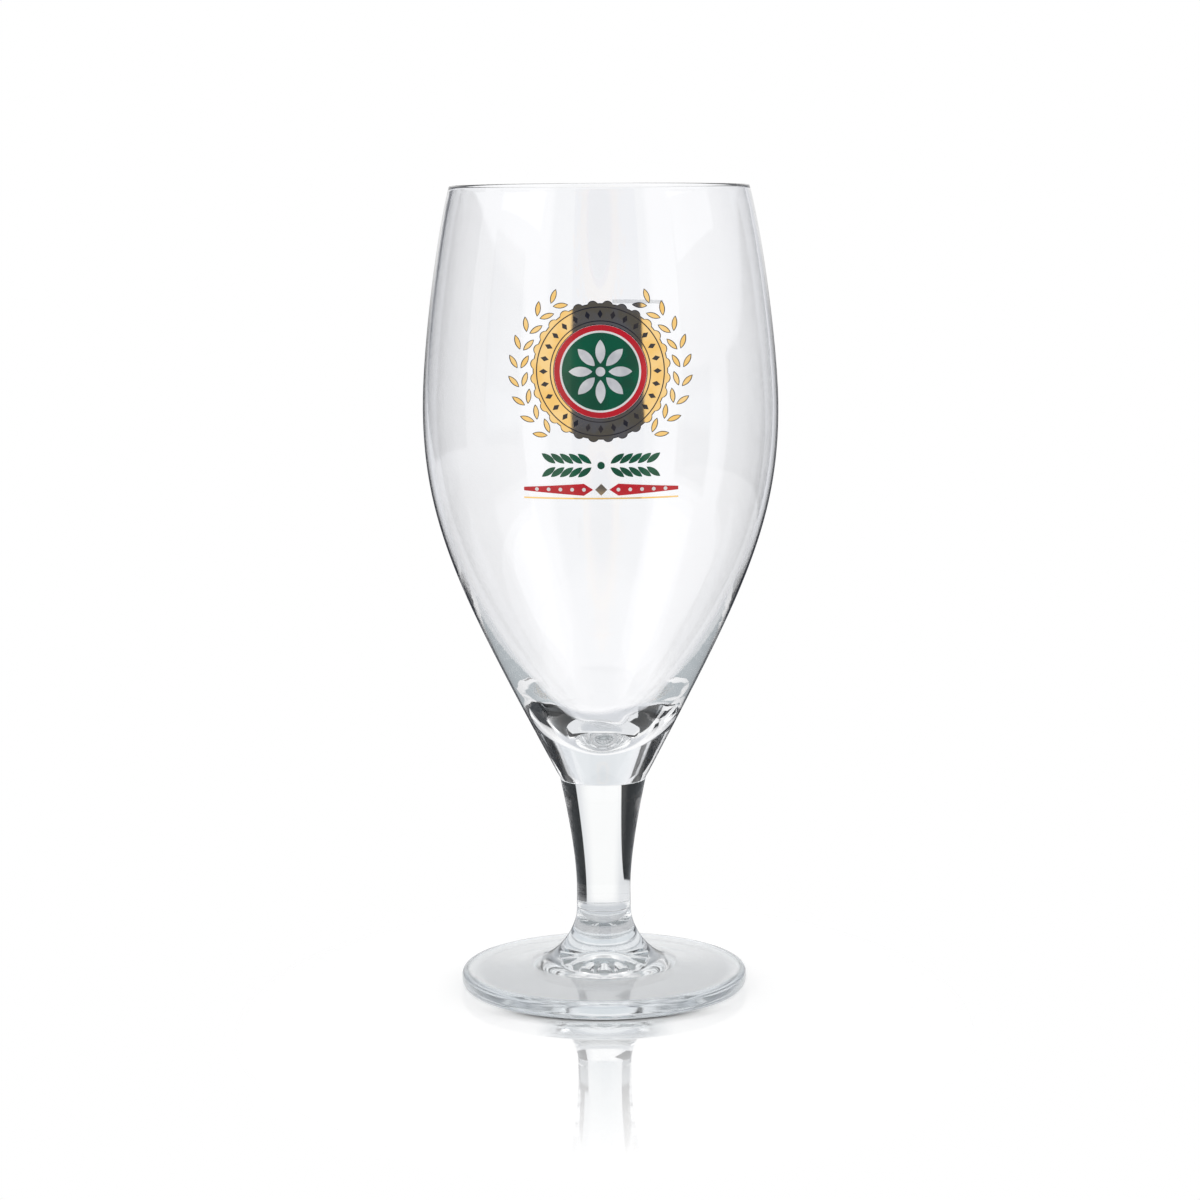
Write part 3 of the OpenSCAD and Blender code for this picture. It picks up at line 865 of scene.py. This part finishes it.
def dot_spots(p, dot_span=0.68):
    """Places of the white dots, over a share of each bar's length."""
    first = p.bars_gap / 2 + bar_nose(p)
    step = dot_span * (p.bars_w - p.bars_gap) / 2 / (p.bar_dots - 1)
    spots = [(first + step * i, -p.bar_drop, 0.0) for i in range(p.bar_dots)]
    return spots + [(-x, y, turn) for x, y, turn in spots]


def on_glass(p, motif, spots=CENTRE):
    """A motif of a layer that is printed on the glass."""
    return motif, spots, p.clear, p.layer_t


def on_layer(p, motif, spots=CENTRE):
    """A motif of a layer that is printed over another one."""
    return motif, spots, p.clear + p.layer_t, p.over_t


# Materials

def surface_group():
    """Soft variation of a surface: a mix of two colours, a roughness and a height, all from noise."""
    tree, graph, given, result = new_tree(
        "surface_variation", "ShaderNodeTree",
        {"Color": "Color", "Second Color": "Color", "Patch Scale": "Float", "Grain Scale": "Float",
         "Grain": "Float", "Roughness": "Float", "Second Roughness": "Float"},
        {"Color": "Color", "Roughness": "Float", "Height": "Float"})
    where = graph.node("ShaderNodeTexCoord").outputs["Object"]
    patches = graph.ramp(graph.noise(where, given["Patch Scale"], SEED), 0.35, 0.65)
    grain = graph.noise(where, given["Grain Scale"], SEED + 1, roughness=0.6)
    shade = graph.math("MULTIPLY", given["Grain"], grain - 0.5) + patches
    graph.plug(result.inputs["Color"], graph.mix(shade, given["Color"], given["Second Color"]))
    rough = graph.math("SUBTRACT", given["Second Roughness"], given["Roughness"])
    graph.plug(result.inputs["Roughness"], rough * shade + given["Roughness"])
    graph.plug(result.inputs["Height"], patches * 0.5 + grain * 0.5)
    return tree


def rgba(value):
    return (*value, 1.0)


def varied(graph, first, second, patch_scale, grain_scale, grain, rough=0.0, second_rough=0.0):
    """Places the shared variation group in a material."""
    group = graph.node("ShaderNodeGroup", {
        "Color": rgba(first), "Second Color": rgba(second), "Patch Scale": patch_scale,
        "Grain Scale": grain_scale, "Grain": grain, "Roughness": rough, "Second Roughness": second_rough},
        node_tree=shared_tree(surface_group, "surface_variation"))
    return group.outputs


def new_material(name):
    material = bpy.data.materials.new(name)
    material.use_nodes = True
    material.node_tree.nodes.clear()
    return material, Graph(material.node_tree)


def radius_of(graph, x, y):
    return graph.math("SQRT", x * x + y * y)


def glass_material(name, tint, edge=0.0, painted_edge_shade_fade=None, rough=0.0, rim_r=None, rim_tint_and_painted_shade=None, rim_rough=0.0,
                   painted_shade_hollow_tint=None, painted_edge_shade_faded=0.6, painted_edge_shade_tone=0.08, deep_tone=0.99, shadow_tone=0.94):
    """Clear glass with faint waves, which passes tinted light to what it shades.

    Its outer wall can get a dark outline painted into its tint where it is seen along itself, which is
    painted shade, less so from one level to a higher one. Beyond a radius it can be deeper in tint, which
    stands for the glass's own colour along the long way into the disc and paints shade there too, and less
    smooth; its hollow can have a tint of its own, which is painted shade.
    """
    material, graph = new_material(name)
    deep = tuple(deep_tone * c for c in tint)
    out = varied(graph, tint, deep, patch_scale=60.0, grain_scale=420.0, grain=0.2)
    tone, gloss = out["Color"], rough
    if edge:
        facing = Value(graph, graph.node("ShaderNodeLayerWeight", {"Blend": 0.5}).outputs["Facing"])
        outside = Value(graph, graph.node("ShaderNodeAttribute", attribute_name="outside").outputs["Fac"])
        # Painted shade: a dark outline painted into the tint where the outer wall is seen along itself
        line = graph.ramp(facing, 0.75, 0.83) * outside * edge
        if painted_edge_shade_fade:
            level = graph.parts(graph.node("ShaderNodeTexCoord").outputs["Object"])[2]
            line = line * (1.0 - painted_edge_shade_faded * graph.ramp(level, *painted_edge_shade_fade))
        tone = graph.mix(line, tone, rgba(painted_edge_shade_tone * c for c in tint))
    if rim_r:
        x, y, _ = graph.parts(graph.node("ShaderNodeTexCoord").outputs["Object"])
        radius = radius_of(graph, x, y)
        beyond = graph.ramp(radius, rim_r - 0.5 * MM, rim_r + 0.5 * MM)
        pressed = graph.node("ShaderNodeAttribute", attribute_name="hollow").outputs["Fac"]
        # Beyond the radius: deeper tint for the long way into the disc, with painted shade
        tone = graph.mix(beyond, tone, rgba(rim_tint_and_painted_shade))
        # Painted shade in the pressed hollow
        tone = graph.mix(pressed, tone, rgba(painted_shade_hollow_tint))
        gloss = beyond * (rim_rough - rough) + rough
    bump = graph.node("ShaderNodeBump", {"Height": out["Height"], "Strength": 0.25, "Distance": 0.02 * MM})
    glass = graph.node("ShaderNodeBsdfPrincipled", {
        "Base Color": tone, "Normal": bump.outputs[0], "Metallic": 0.0, "Roughness": gloss,
        "IOR": 1.5, "Transmission Weight": 1.0})
    clear = graph.node("ShaderNodeBsdfTransparent", {"Color": rgba(shadow_tone * c for c in tint)})
    shadow = graph.node("ShaderNodeLightPath").outputs["Is Shadow Ray"]
    mix = graph.node("ShaderNodeMixShader", {0: shadow, 1: glass.outputs[0], 2: clear.outputs[0]})
    graph.node("ShaderNodeOutputMaterial", {"Surface": mix.outputs[0]})
    return material


def joint_material():
    """The fused joint between two glass pieces, which light passes as if it weren't there."""
    found = bpy.data.materials.get("fused_joint")
    if found:
        return found
    material, graph = new_material("fused_joint")
    clear = graph.node("ShaderNodeBsdfPrincipled", {
        "Base Color": rgba(WHITE), "Roughness": 0.0, "Specular IOR Level": 0.0, "Alpha": 0.0})
    graph.node("ShaderNodeOutputMaterial", {"Surface": clear.outputs[0]})
    return material


def foil_material(name, first, second, metallic=1.0, rough=0.05, second_rough=0.09):
    """Fired metal, slightly uneven as it was printed through a screen."""
    material, graph = new_material(name)
    out = varied(graph, first, second, patch_scale=260.0, grain_scale=3200.0, grain=0.7,
                 rough=rough, second_rough=second_rough)
    bump = graph.node("ShaderNodeBump", {"Height": out["Height"], "Strength": 0.2, "Distance": 0.01 * MM})
    foil = graph.node("ShaderNodeBsdfPrincipled", {
        "Base Color": out["Color"], "Normal": bump.outputs[0], "Roughness": out["Roughness"],
        "Metallic": metallic})
    graph.node("ShaderNodeOutputMaterial", {"Surface": foil.outputs[0]})
    return material


def enamel_material(name, first, second, cover=1.0):
    """Fired glossy colour. A thin one covers only a share of the glass behind it."""
    material, graph = new_material(name)
    out = varied(graph, first, second, patch_scale=220.0, grain_scale=2600.0, grain=0.8,
                 rough=0.22, second_rough=0.34)
    bump = graph.node("ShaderNodeBump", {"Height": out["Height"], "Strength": 0.25, "Distance": 0.012 * MM})
    enamel = graph.node("ShaderNodeBsdfPrincipled", {
        "Base Color": out["Color"], "Normal": bump.outputs[0], "Roughness": out["Roughness"], "IOR": 1.5,
        "Coat Weight": 0.25, "Coat Roughness": 0.04, "Alpha": cover})
    graph.node("ShaderNodeOutputMaterial", {"Surface": enamel.outputs[0]})
    return material


# Operators that make the pieces

class BlowBowl(bpy.types.Operator):
    """Turns the bowl with its thick base"""
    bl_idname = "pilsner.blow_bowl"
    bl_label = "Bowl"

    def execute(self, context):
        s, c = context.scene.glass_sizes, context.scene.finish_colours
        # Levels over which the bowl's painted dark outline, painted shade, weakens towards the rim
        near_rim = (s.rim_z - 32 * MM, s.rim_z - 5 * MM)
        glass = glass_material("bowl_glass", c.bowl_tint, edge=0.95, painted_edge_shade_fade=near_rim)
        turned_piece("bowl_glass", bowl_rows(s), glass, "bowl")
        return {"FINISHED"}


class DrawStem(bpy.types.Operator):
    """Turns the solid stem"""
    bl_idname = "pilsner.draw_stem"
    bl_label = "Stem"

    def execute(self, context):
        rows = stem_rows(context.scene.glass_sizes)
        # The stem's side gets a weaker painted dark outline, painted shade
        glass = glass_material("stem_glass", context.scene.finish_colours.stem_tint, edge=0.5)
        turned_piece("stem_glass", rows, glass, "stem")
        return {"FINISHED"}


class PressFoot(bpy.types.Operator):
    """Turns the foot and presses the flutes into its hollow"""
    bl_idname = "pilsner.press_foot"
    bl_label = "Foot"

    def execute(self, context):
        s, c = context.scene.glass_sizes, context.scene.finish_colours
        glass = glass_material("foot_glass", c.foot_tint, rough=0.05, rim_r=s.foot_d / 2 - s.edge_top_r,
                               rim_tint_and_painted_shade=c.rim_tint_and_painted_shade, rim_rough=0.13, painted_shade_hollow_tint=c.painted_shade_hollow_tint)
        turned_piece("foot_glass", foot_rows(s), glass, "foot")
        return {"FINISHED"}


class FireGold(bpy.types.Operator):
    """Lays the gold band, the gold leaves and the gold line on the wall"""
    bl_idname = "pilsner.fire_gold"
    bl_label = "Gold"

    def execute(self, context):
        p, c = context.scene.print_sizes, context.scene.finish_colours
        gold = foil_material("fired_gold", c.gold, c.gold_pale)
        band = ring("gold_band", p.band_in_d / 2, band_edge(p), across=12, along=24 * p.lobes)
        print_piece("gold_band_foil", "gold_band", gold, [on_glass(p, band)])
        leaves = leaf("gold_leaf", p.leaf_l, p.leaf_w)
        print_piece("gold_leaves_foil", "gold_leaves", gold, [on_glass(p, leaves, spray_spots(p))])
        rule = rectangle("gold_rule", p.bars_w, p.rule_h)
        diamond = lozenge("gold_diamond", p.bar_h, p.bar_h)
        print_piece("gold_rule_foil", "gold_rule", gold,
                    [on_glass(p, rule, ((0.0, -p.bar_drop - p.rule_drop, 0.0),)),
                     on_glass(p, diamond, ((0.0, -p.bar_drop, 0.0),))])
        return {"FINISHED"}


class FireEnamels(bpy.types.Operator):
    """Lays the red, white and green enamel on the wall"""
    bl_idname = "pilsner.fire_enamels"
    bl_label = "Enamels"

    def execute(self, context):
        p, c = context.scene.print_sizes, context.scene.finish_colours
        red = enamel_material("fired_red", c.red, c.red_deep)
        white = enamel_material("fired_white", c.white, c.white_deep)
        green = enamel_material("fired_green", c.green, c.green_deep)
        red_r = p.band_in_d / 2 - p.clear
        white_r = red_r - p.red_w - p.clear
        green_r = white_r - p.white_w - p.clear
        print_piece("red_ring_enamel", "red_ring", red,
                    [on_glass(p, ring("red_ring", red_r - p.red_w, red_r, across=3))])
        print_piece("white_ring_enamel", "white_ring", white,
                    [on_glass(p, ring("white_ring", white_r - p.white_w, white_r, across=2))])
        print_piece("green_field_enamel", "green_field", green,
                    [on_glass(p, disc("green_field", green_r, across=18, along=168))])
        sprig = leaf("green_leaf", p.sprig_leaf_l, p.sprig_leaf_w)
        dot = disc("green_dot", p.sprig_dot_d / 2)
        print_piece("green_sprig_enamel", "green_sprig", green,
                    [on_glass(p, sprig, sprig_spots(p)),
                     on_glass(p, dot, ((0.0, -p.sprig_drop, 0.0),))])
        near, bar_tip = p.bars_gap / 2, 0.3 * p.bar_h
        half = bar("red_bar", (p.bars_w - p.bars_gap) / 2, bar_nose(p), p.bar_h, bar_tip)
        print_piece("red_bars_enamel", "red_bars", red,
                    [on_glass(p, half, ((near, -p.bar_drop, 0.0), (-near, -p.bar_drop, math.pi)))])
        print_piece("white_dots_enamel", "white_dots", white,
                    [on_layer(p, disc("white_dot", p.dot_d / 2, across=2, along=24), dot_spots(p))])
        return {"FINISHED"}


class FireDarkLines(bpy.types.Operator):
    """Lays the dark lines, lozenges and outlines over the gold"""
    bl_idname = "pilsner.fire_dark_lines"
    bl_label = "Dark lines"

    def execute(self, context):
        p, c = context.scene.print_sizes, context.scene.finish_colours
        dark = enamel_material("fired_dark", c.dark, c.dark_brown)
        edge = band_edge(p)
        band_in_r = p.band_in_d / 2
        middles = (band_in_r + p.line_inset, p.medal_d / 2 - p.line_inset)
        parts = [on_layer(p, ring("dark_ring", r - p.line_w / 2, r + p.line_w / 2)) for r in middles]
        parts.append(on_layer(p, lozenge("dark_lozenge", p.lozenge_l, p.lozenge_w),
                              ring_spots((p.medal_d + p.band_in_d) / 4, p.lobes)))
        outline = ring("dark_edge", lambda t: edge(t) - p.edge_w, edge, along=24 * p.lobes)
        parts.append(on_layer(p, outline))
        parts.append(on_layer(p, ring("dark_inner_edge", band_in_r, band_in_r + p.edge_w)))
        parts.append(on_layer(p, leaf_outline("dark_leaf", p.leaf_l, p.leaf_w, p.edge_w), spray_spots(p)))
        print_piece("dark_key_lines", "dark_lines", dark, parts)
        return {"FINISHED"}


class FireSilver(bpy.types.Operator):
    """Lays the silver rosette over the green field"""
    bl_idname = "pilsner.fire_silver"
    bl_label = "Silver rosette"

    def execute(self, context):
        p, c = context.scene.print_sizes, context.scene.finish_colours
        silver = foil_material("fired_silver", c.silver, c.silver_pale,
                               metallic=0.3, rough=0.3, second_rough=0.42)
        petal = leaf("petal", p.petal_l, p.petal_w)
        eye = disc("eye", p.eye_d / 2)
        print_piece("silver_rosette_foil", "silver_rosette", silver,
                    [on_layer(p, petal, ring_spots(p.petal_start, p.petals)), on_layer(p, eye)])
        return {"FINISHED"}


class FireFillMark(bpy.types.Operator):
    """Lays the fill mark on the back of the bowl"""
    bl_idname = "pilsner.fire_fill_mark"
    bl_label = "Fill mark"

    def execute(self, context):
        p, c = context.scene.print_sizes, context.scene.finish_colours
        grey = enamel_material("fired_grey", c.mark, c.mark_thin, cover=p.mark_cover)
        mark = rectangle("fill_mark", p.mark_w, p.mark_h)
        print_piece("fill_mark_enamel", "fill_mark", grey,
                    [on_glass(p, mark, ((-p.mark_side, 0.0, 0.0),))], drop=p.mark_drop, facing=math.pi)
        return {"FINISHED"}


# Stage

def studio_world(c):
    """A white room, with cards that only show through glass and grey sides that only gloss meets.

    A turn of 0 is behind the glass and 180 is the camera's side. Turns and rises are in degrees.
    """
    world = bpy.data.worlds.new("studio")
    bpy.context.scene.world = world
    world.use_nodes = True
    world.cycles.sampling_method = "NONE"
    world.node_tree.nodes.clear()
    graph = Graph(world.node_tree)
    x, y, z = graph.parts(graph.node("ShaderNodeTexCoord").outputs["Generated"])
    turn = graph.math("DEGREES", graph.math("ARCTAN2", x, y))
    rise = graph.math("DEGREES", graph.math("ARCSINE", z))
    away = graph.math("ABSOLUTE", turn)
    white = rgba(WHITE)
    seen = seen_through_glass(graph, c, turn, rise, away, white)
    met = met_by_gloss(graph, c, turn, rise, away, white)

    path = graph.node("ShaderNodeLightPath").outputs
    through = path["Is Transmission Ray"]
    gloss = graph.math("MULTIPLY", path["Is Glossy Ray"], 1.0 - Value(graph, through))
    level = graph.mix(through, rgba(c.room), seen)
    level = graph.mix(gloss, level, met)
    level = graph.mix(path["Is Camera Ray"], level, white)
    light = graph.node("ShaderNodeBackground", {"Color": level, "Strength": 1.0})
    graph.node("ShaderNodeOutputWorld", {"Surface": light.outputs[0]})


def seen_through_glass(graph, c, turn, rise, away, white):
    """The room as glass bends it: white behind, dark cards to the left and right, pale grey above."""
    def card(across, turns, soft_turn, rises, soft_rise):
        return graph.window(across, *turns, soft_turn) * graph.window(rise, *rises, soft_rise)

    lean = graph.math("MINIMUM", rise + 5.0, 8.0) * 1.7 - graph.ramp(rise, 4.0, 9.0) * 15.0 - turn
    near_left = graph.ramp(lean, 28.5, 29.5) * (1.0 - graph.ramp(away, 81.0, 83.0))
    far_left = graph.window(turn, -125.0, -99.0, 1.0)
    left = graph.math("MINIMUM", near_left + far_left, 1.0) * graph.window(rise, -9.5, 14.0, 1.0)
    right = card(turn, (30.0, 124.0), 1.0, (-15.0, 22.0), 1.0)
    high = card(away, (31.0, 62.0), 1.5, (13.0, 32.0), 2.0)
    cards = graph.math("MAXIMUM", graph.math("MAXIMUM", right, left), high)
    low = graph.window(away, 96.0, 126.0, 3.0) * (1.0 - graph.ramp(rise, -1.0, 3.0))
    gap = card(away, (20.0, 60.0), 3.0, (11.0, 18.0), 2.0)
    top = card(turn, (26.0, 39.0), 3.0, (22.0, 32.0), 2.0)
    ceiling = graph.window(rise, 12.0, 36.0, 4.0) * (1.0 - graph.ramp(away, 18.0, 30.0))

    card_tone = graph.mix(low, rgba(c.card), rgba(c.card_low))
    card_tone = graph.mix(gap, card_tone, rgba(c.card_gap))
    seen = graph.mix(graph.ramp(away, 12.0, 30.0), white, rgba(c.veil))
    seen = graph.mix(graph.ramp(away, 60.0, 80.0), seen, white)
    seen = graph.mix(cards, seen, card_tone)
    seen = graph.mix(top, seen, rgba(c.card_top))
    seen = graph.mix(graph.ramp(away, 141.0, 145.0), seen, rgba(c.near))
    return graph.mix(ceiling, seen, rgba(c.ceiling))


def met_by_gloss(graph, c, turn, rise, away, white):
    """The room as gloss mirrors it: white behind, then a dark edge, grey sides and a dark camera side."""
    upright = graph.window(rise, -75.0, 40.0, 5.0)
    edges = graph.window(away, 6.0, 19.0, 4.0) * upright * (1.0 - 0.8 * graph.ramp(rise, -4.0, 0.0))
    sides = graph.ramp(away, 12.0, 30.0) * (1.0 - graph.ramp(away, 92.0, 126.0)) * upright
    from_camera = graph.math("WRAP", turn + 184.5, 180.0, -180.0)
    camera_side = graph.window(from_camera, -22.5, 22.5, 1.0) * graph.window(rise, -22.0, 45.0, 4.0)
    side_tone = graph.mix(graph.ramp(rise, -18.0, -11.0), rgba(c.low_gloss), rgba(c.side_gloss))
    met = graph.mix(graph.ramp(away, 100.0, 126.0), white, rgba(c.far_gloss))
    met = graph.mix(sides, met, side_tone)
    met = graph.mix(edges, met, rgba(c.edge_gloss))
    return graph.mix(camera_side, met, rgba(c.camera_gloss))


def floor_tone(graph, stage, c, where, open_sky, seen_by_glass):
    """White with painted shade: under the foot, darker under its hollow, at its front edge, and behind it
    for glass.
    """
    # The mirror's start also serves as the foot's edge, where the painted shade under the foot ends
    edge = stage.mirror_start
    x, y, _ = graph.parts(where)
    radius = radius_of(graph, x, y)
    hollow = 1.0 - graph.ramp(radius, 0.2 * edge, 0.34 * edge)
    under = graph.mix(hollow, rgba(c.painted_shade_under_foot), rgba(c.painted_shade_under_hollow))
    # Painted contact shadow, strongest in front of the foot and white beside it
    front = graph.ramp(y * -1.0, 0.6 * edge, 0.96 * edge)
    beside = graph.mix(front, rgba(WHITE), rgba(c.painted_contact_shade))
    shade = graph.mix(graph.ramp(radius, edge - 4 * MM, edge), under, beside)
    # A grey patch painted behind the foot for rays through the glass only, which paints shade into the neck
    behind = graph.window(y, 40 * MM, 80 * MM, 7 * MM) * graph.window(x, -36 * MM, 36 * MM, 14 * MM)
    grain = graph.noise(where, 30.0, SEED)
    pale = graph.mix(grain, rgba(c.floor_worn), rgba(WHITE))
    pale = graph.mix(behind * seen_by_glass, pale, rgba(c.painted_shade_behind_foot))
    # Where the occlusion finds the floor covered, painted shade takes the place of the pale floor
    return graph.mix(open_sky, shade, pale)


def floor_polish(graph, stage, where, open_sky, seen_by_camera):
    """Share of the light that is mirrored: most in front of the foot, less beside it and further away."""
    edge = stage.mirror_start
    x, y, _ = graph.parts(where)
    reach = graph.node("ShaderNodeMapRange", {
        "Value": y, "From Min": -stage.mirror_end, "From Max": -edge,
        "To Min": 0.0, "To Max": stage.mirror}).outputs["Result"]
    polish = graph.math("MULTIPLY", reach, seen_by_camera) * graph.ramp(open_sky, 0.3, 0.8)
    middle = graph.window(x, -0.24 * edge, 0.24 * edge, 0.3 * edge)
    return polish * (middle * (1.0 - stage.mirror_aside) + stage.mirror_aside)


def floor_material(stage, c):
    """Pale floor that keeps the shadow and painted shade, mirrors the glass near the foot and fades into the
    white.
    """
    material, graph = new_material("pale_floor")
    where = graph.node("ShaderNodeTexCoord").outputs["Object"]
    # Occlusion, which places the painted shade on the floor
    open_sky = graph.node("ShaderNodeAmbientOcclusion", {"Distance": stage.painted_contact_shade},
                          samples=16).outputs["AO"]
    path = graph.node("ShaderNodeLightPath").outputs
    tone = floor_tone(graph, stage, c, where, open_sky, path["Is Transmission Ray"])
    matt_tone = graph.node("ShaderNodeVectorMath", {0: tone, "Scale": 0.85}, operation="SCALE")
    matt = graph.node("ShaderNodeBsdfDiffuse", {"Color": matt_tone.outputs[0]})
    glow = graph.node("ShaderNodeEmission", {"Color": tone, "Strength": stage.glow})
    ground = graph.node("ShaderNodeAddShader", {0: matt.outputs[0], 1: glow.outputs[0]})
    mirror = graph.node("ShaderNodeBsdfGlossy", {"Color": rgba(WHITE), "Roughness": 0.0})
    polish = floor_polish(graph, stage, where, open_sky, path["Is Camera Ray"])
    polished = graph.node("ShaderNodeMixShader", {0: polish, 1: ground.outputs[0], 2: mirror.outputs[0]})
    x, y, _ = graph.parts(where)
    aside = x / stage.floor_side
    along = (y + stage.floor_shift) / stage.floor_long
    edge = graph.ramp(radius_of(graph, aside, along), 0.75, 0.98)
    nothing = graph.node("ShaderNodeBsdfTransparent")
    whole = graph.node("ShaderNodeMixShader", {0: edge, 1: polished.outputs[0], 2: nothing.outputs[0]})
    graph.node("ShaderNodeOutputMaterial", {"Surface": whole.outputs[0]})
    return material


def place_camera(stage):
    """The camera of the photograph: a little above the rim and tilted down."""
    lens = bpy.data.cameras.new("camera")
    lens.lens = stage.camera_lens
    lens.sensor_width = 36
    lens.clip_start = 10 * MM
    camera = bpy.data.objects.new("camera", lens)
    bpy.context.scene.collection.objects.link(camera)
    camera.matrix_world = (Matrix.Translation((stage.camera_x, -stage.camera_back, stage.camera_z))
                           @ Matrix.Rotation(math.pi / 2 - stage.camera_pitch, 4, "X")
                           @ Matrix.Rotation(stage.camera_roll, 4, "Z"))
    bpy.context.scene.camera = camera


def lay_floor(stage, c, gap=0.05 * MM):
    """An oval floor, a small gap below the resting ring."""
    shape = bmesh.new()
    oval = Matrix.Diagonal((stage.floor_side, stage.floor_long, 1, 1))
    bmesh.ops.create_circle(shape, cap_ends=True, segments=96, radius=1,
                            matrix=Matrix.Translation((0, -stage.floor_shift, -gap)) @ oval)
    mesh = bpy.data.meshes.new("floor")
    shape.to_mesh(mesh)
    shape.free()
    floor = bpy.data.objects.new("floor", mesh)
    floor.data.materials.append(floor_material(stage, c))
    bpy.context.scene.collection.objects.link(floor)


def soft_box(name, place, stage):
    """A large square lamp, aimed at the glass."""
    lamp = bpy.data.lights.new(name, "AREA")
    lamp.size = stage.lamp_size
    lamp.energy = stage.lamp_power
    made = bpy.data.objects.new(name, lamp)
    bpy.context.scene.collection.objects.link(made)
    way = np.array(LAMP_AIM) - np.array(place)
    turn = math.atan2(way[0], -way[1])
    tilt = math.atan2(math.hypot(way[0], way[1]), -way[2])
    made.matrix_world = (Matrix.Translation(place) @ Matrix.Rotation(turn, 4, "Z")
                         @ Matrix.Rotation(-tilt, 4, "X"))


class SetStage(bpy.types.Operator):
    """Sets the camera, the floor, the room and the lamps"""
    bl_idname = "pilsner.set_stage"
    bl_label = "Stage"

    def execute(self, context):
        scene = context.scene
        stage, c = scene.stage_settings, scene.room_colours
        place_camera(stage)
        lay_floor(stage, c)
        studio_world(c)
        for name, place in LAMP_PLACES.items():
            soft_box(name, place, stage)
        scene.view_settings.view_transform = "Standard"
        scene.cycles.max_bounces = 100
        scene.cycles.transmission_bounces = 80
        scene.cycles.glossy_bounces = 80
        scene.cycles.transparent_max_bounces = 64
        return {"FINISHED"}


# Panel and registration

class GlassPanel(bpy.types.Panel):
    """Lists what the glass is made of"""
    bl_idname = "VIEW3D_PT_pilsner_glass"
    bl_label = "Pilsner glass"
    bl_space_type = "VIEW_3D"
    bl_region_type = "UI"
    bl_category = "Glass"

    def draw(self, context):
        for group in GROUPS:
            settings = getattr(context.scene, group)
            box = self.layout.box()
            for name in settings.bl_rna.properties.keys():
                if name not in ("rna_type", "name"):
                    box.prop(settings, name)
        for step in STEPS:
            self.layout.operator(step.bl_idname)


GROUPS = {"glass_sizes": GlassSizes, "print_sizes": PrintSizes, "finish_colours": FinishColours,
          "stage_settings": StageSettings, "room_colours": RoomColours}
STEPS = (SetStage, BlowBowl, DrawStem, PressFoot, FireGold, FireEnamels, FireDarkLines, FireSilver,
         FireFillMark)


def register():
    for group in GROUPS.values():
        bpy.utils.register_class(group)
    for name, group in GROUPS.items():
        setattr(bpy.types.Scene, name, bpy.props.PointerProperty(type=group))
    for step in (*STEPS, GlassPanel):
        bpy.utils.register_class(step)


def unregister():
    for step in (GlassPanel, *reversed(STEPS)):
        bpy.utils.unregister_class(step)
    for name, group in reversed(GROUPS.items()):
        delattr(bpy.types.Scene, name)
        bpy.utils.unregister_class(group)


def main():
    register()
    bpy.ops.pilsner.set_stage()
    bpy.ops.pilsner.blow_bowl()
    bpy.ops.pilsner.draw_stem()
    bpy.ops.pilsner.press_foot()
    bpy.ops.pilsner.fire_gold()
    bpy.ops.pilsner.fire_enamels()
    bpy.ops.pilsner.fire_dark_lines()
    bpy.ops.pilsner.fire_silver()
    bpy.ops.pilsner.fire_fill_mark()


if __name__ == "__main__":
    main()
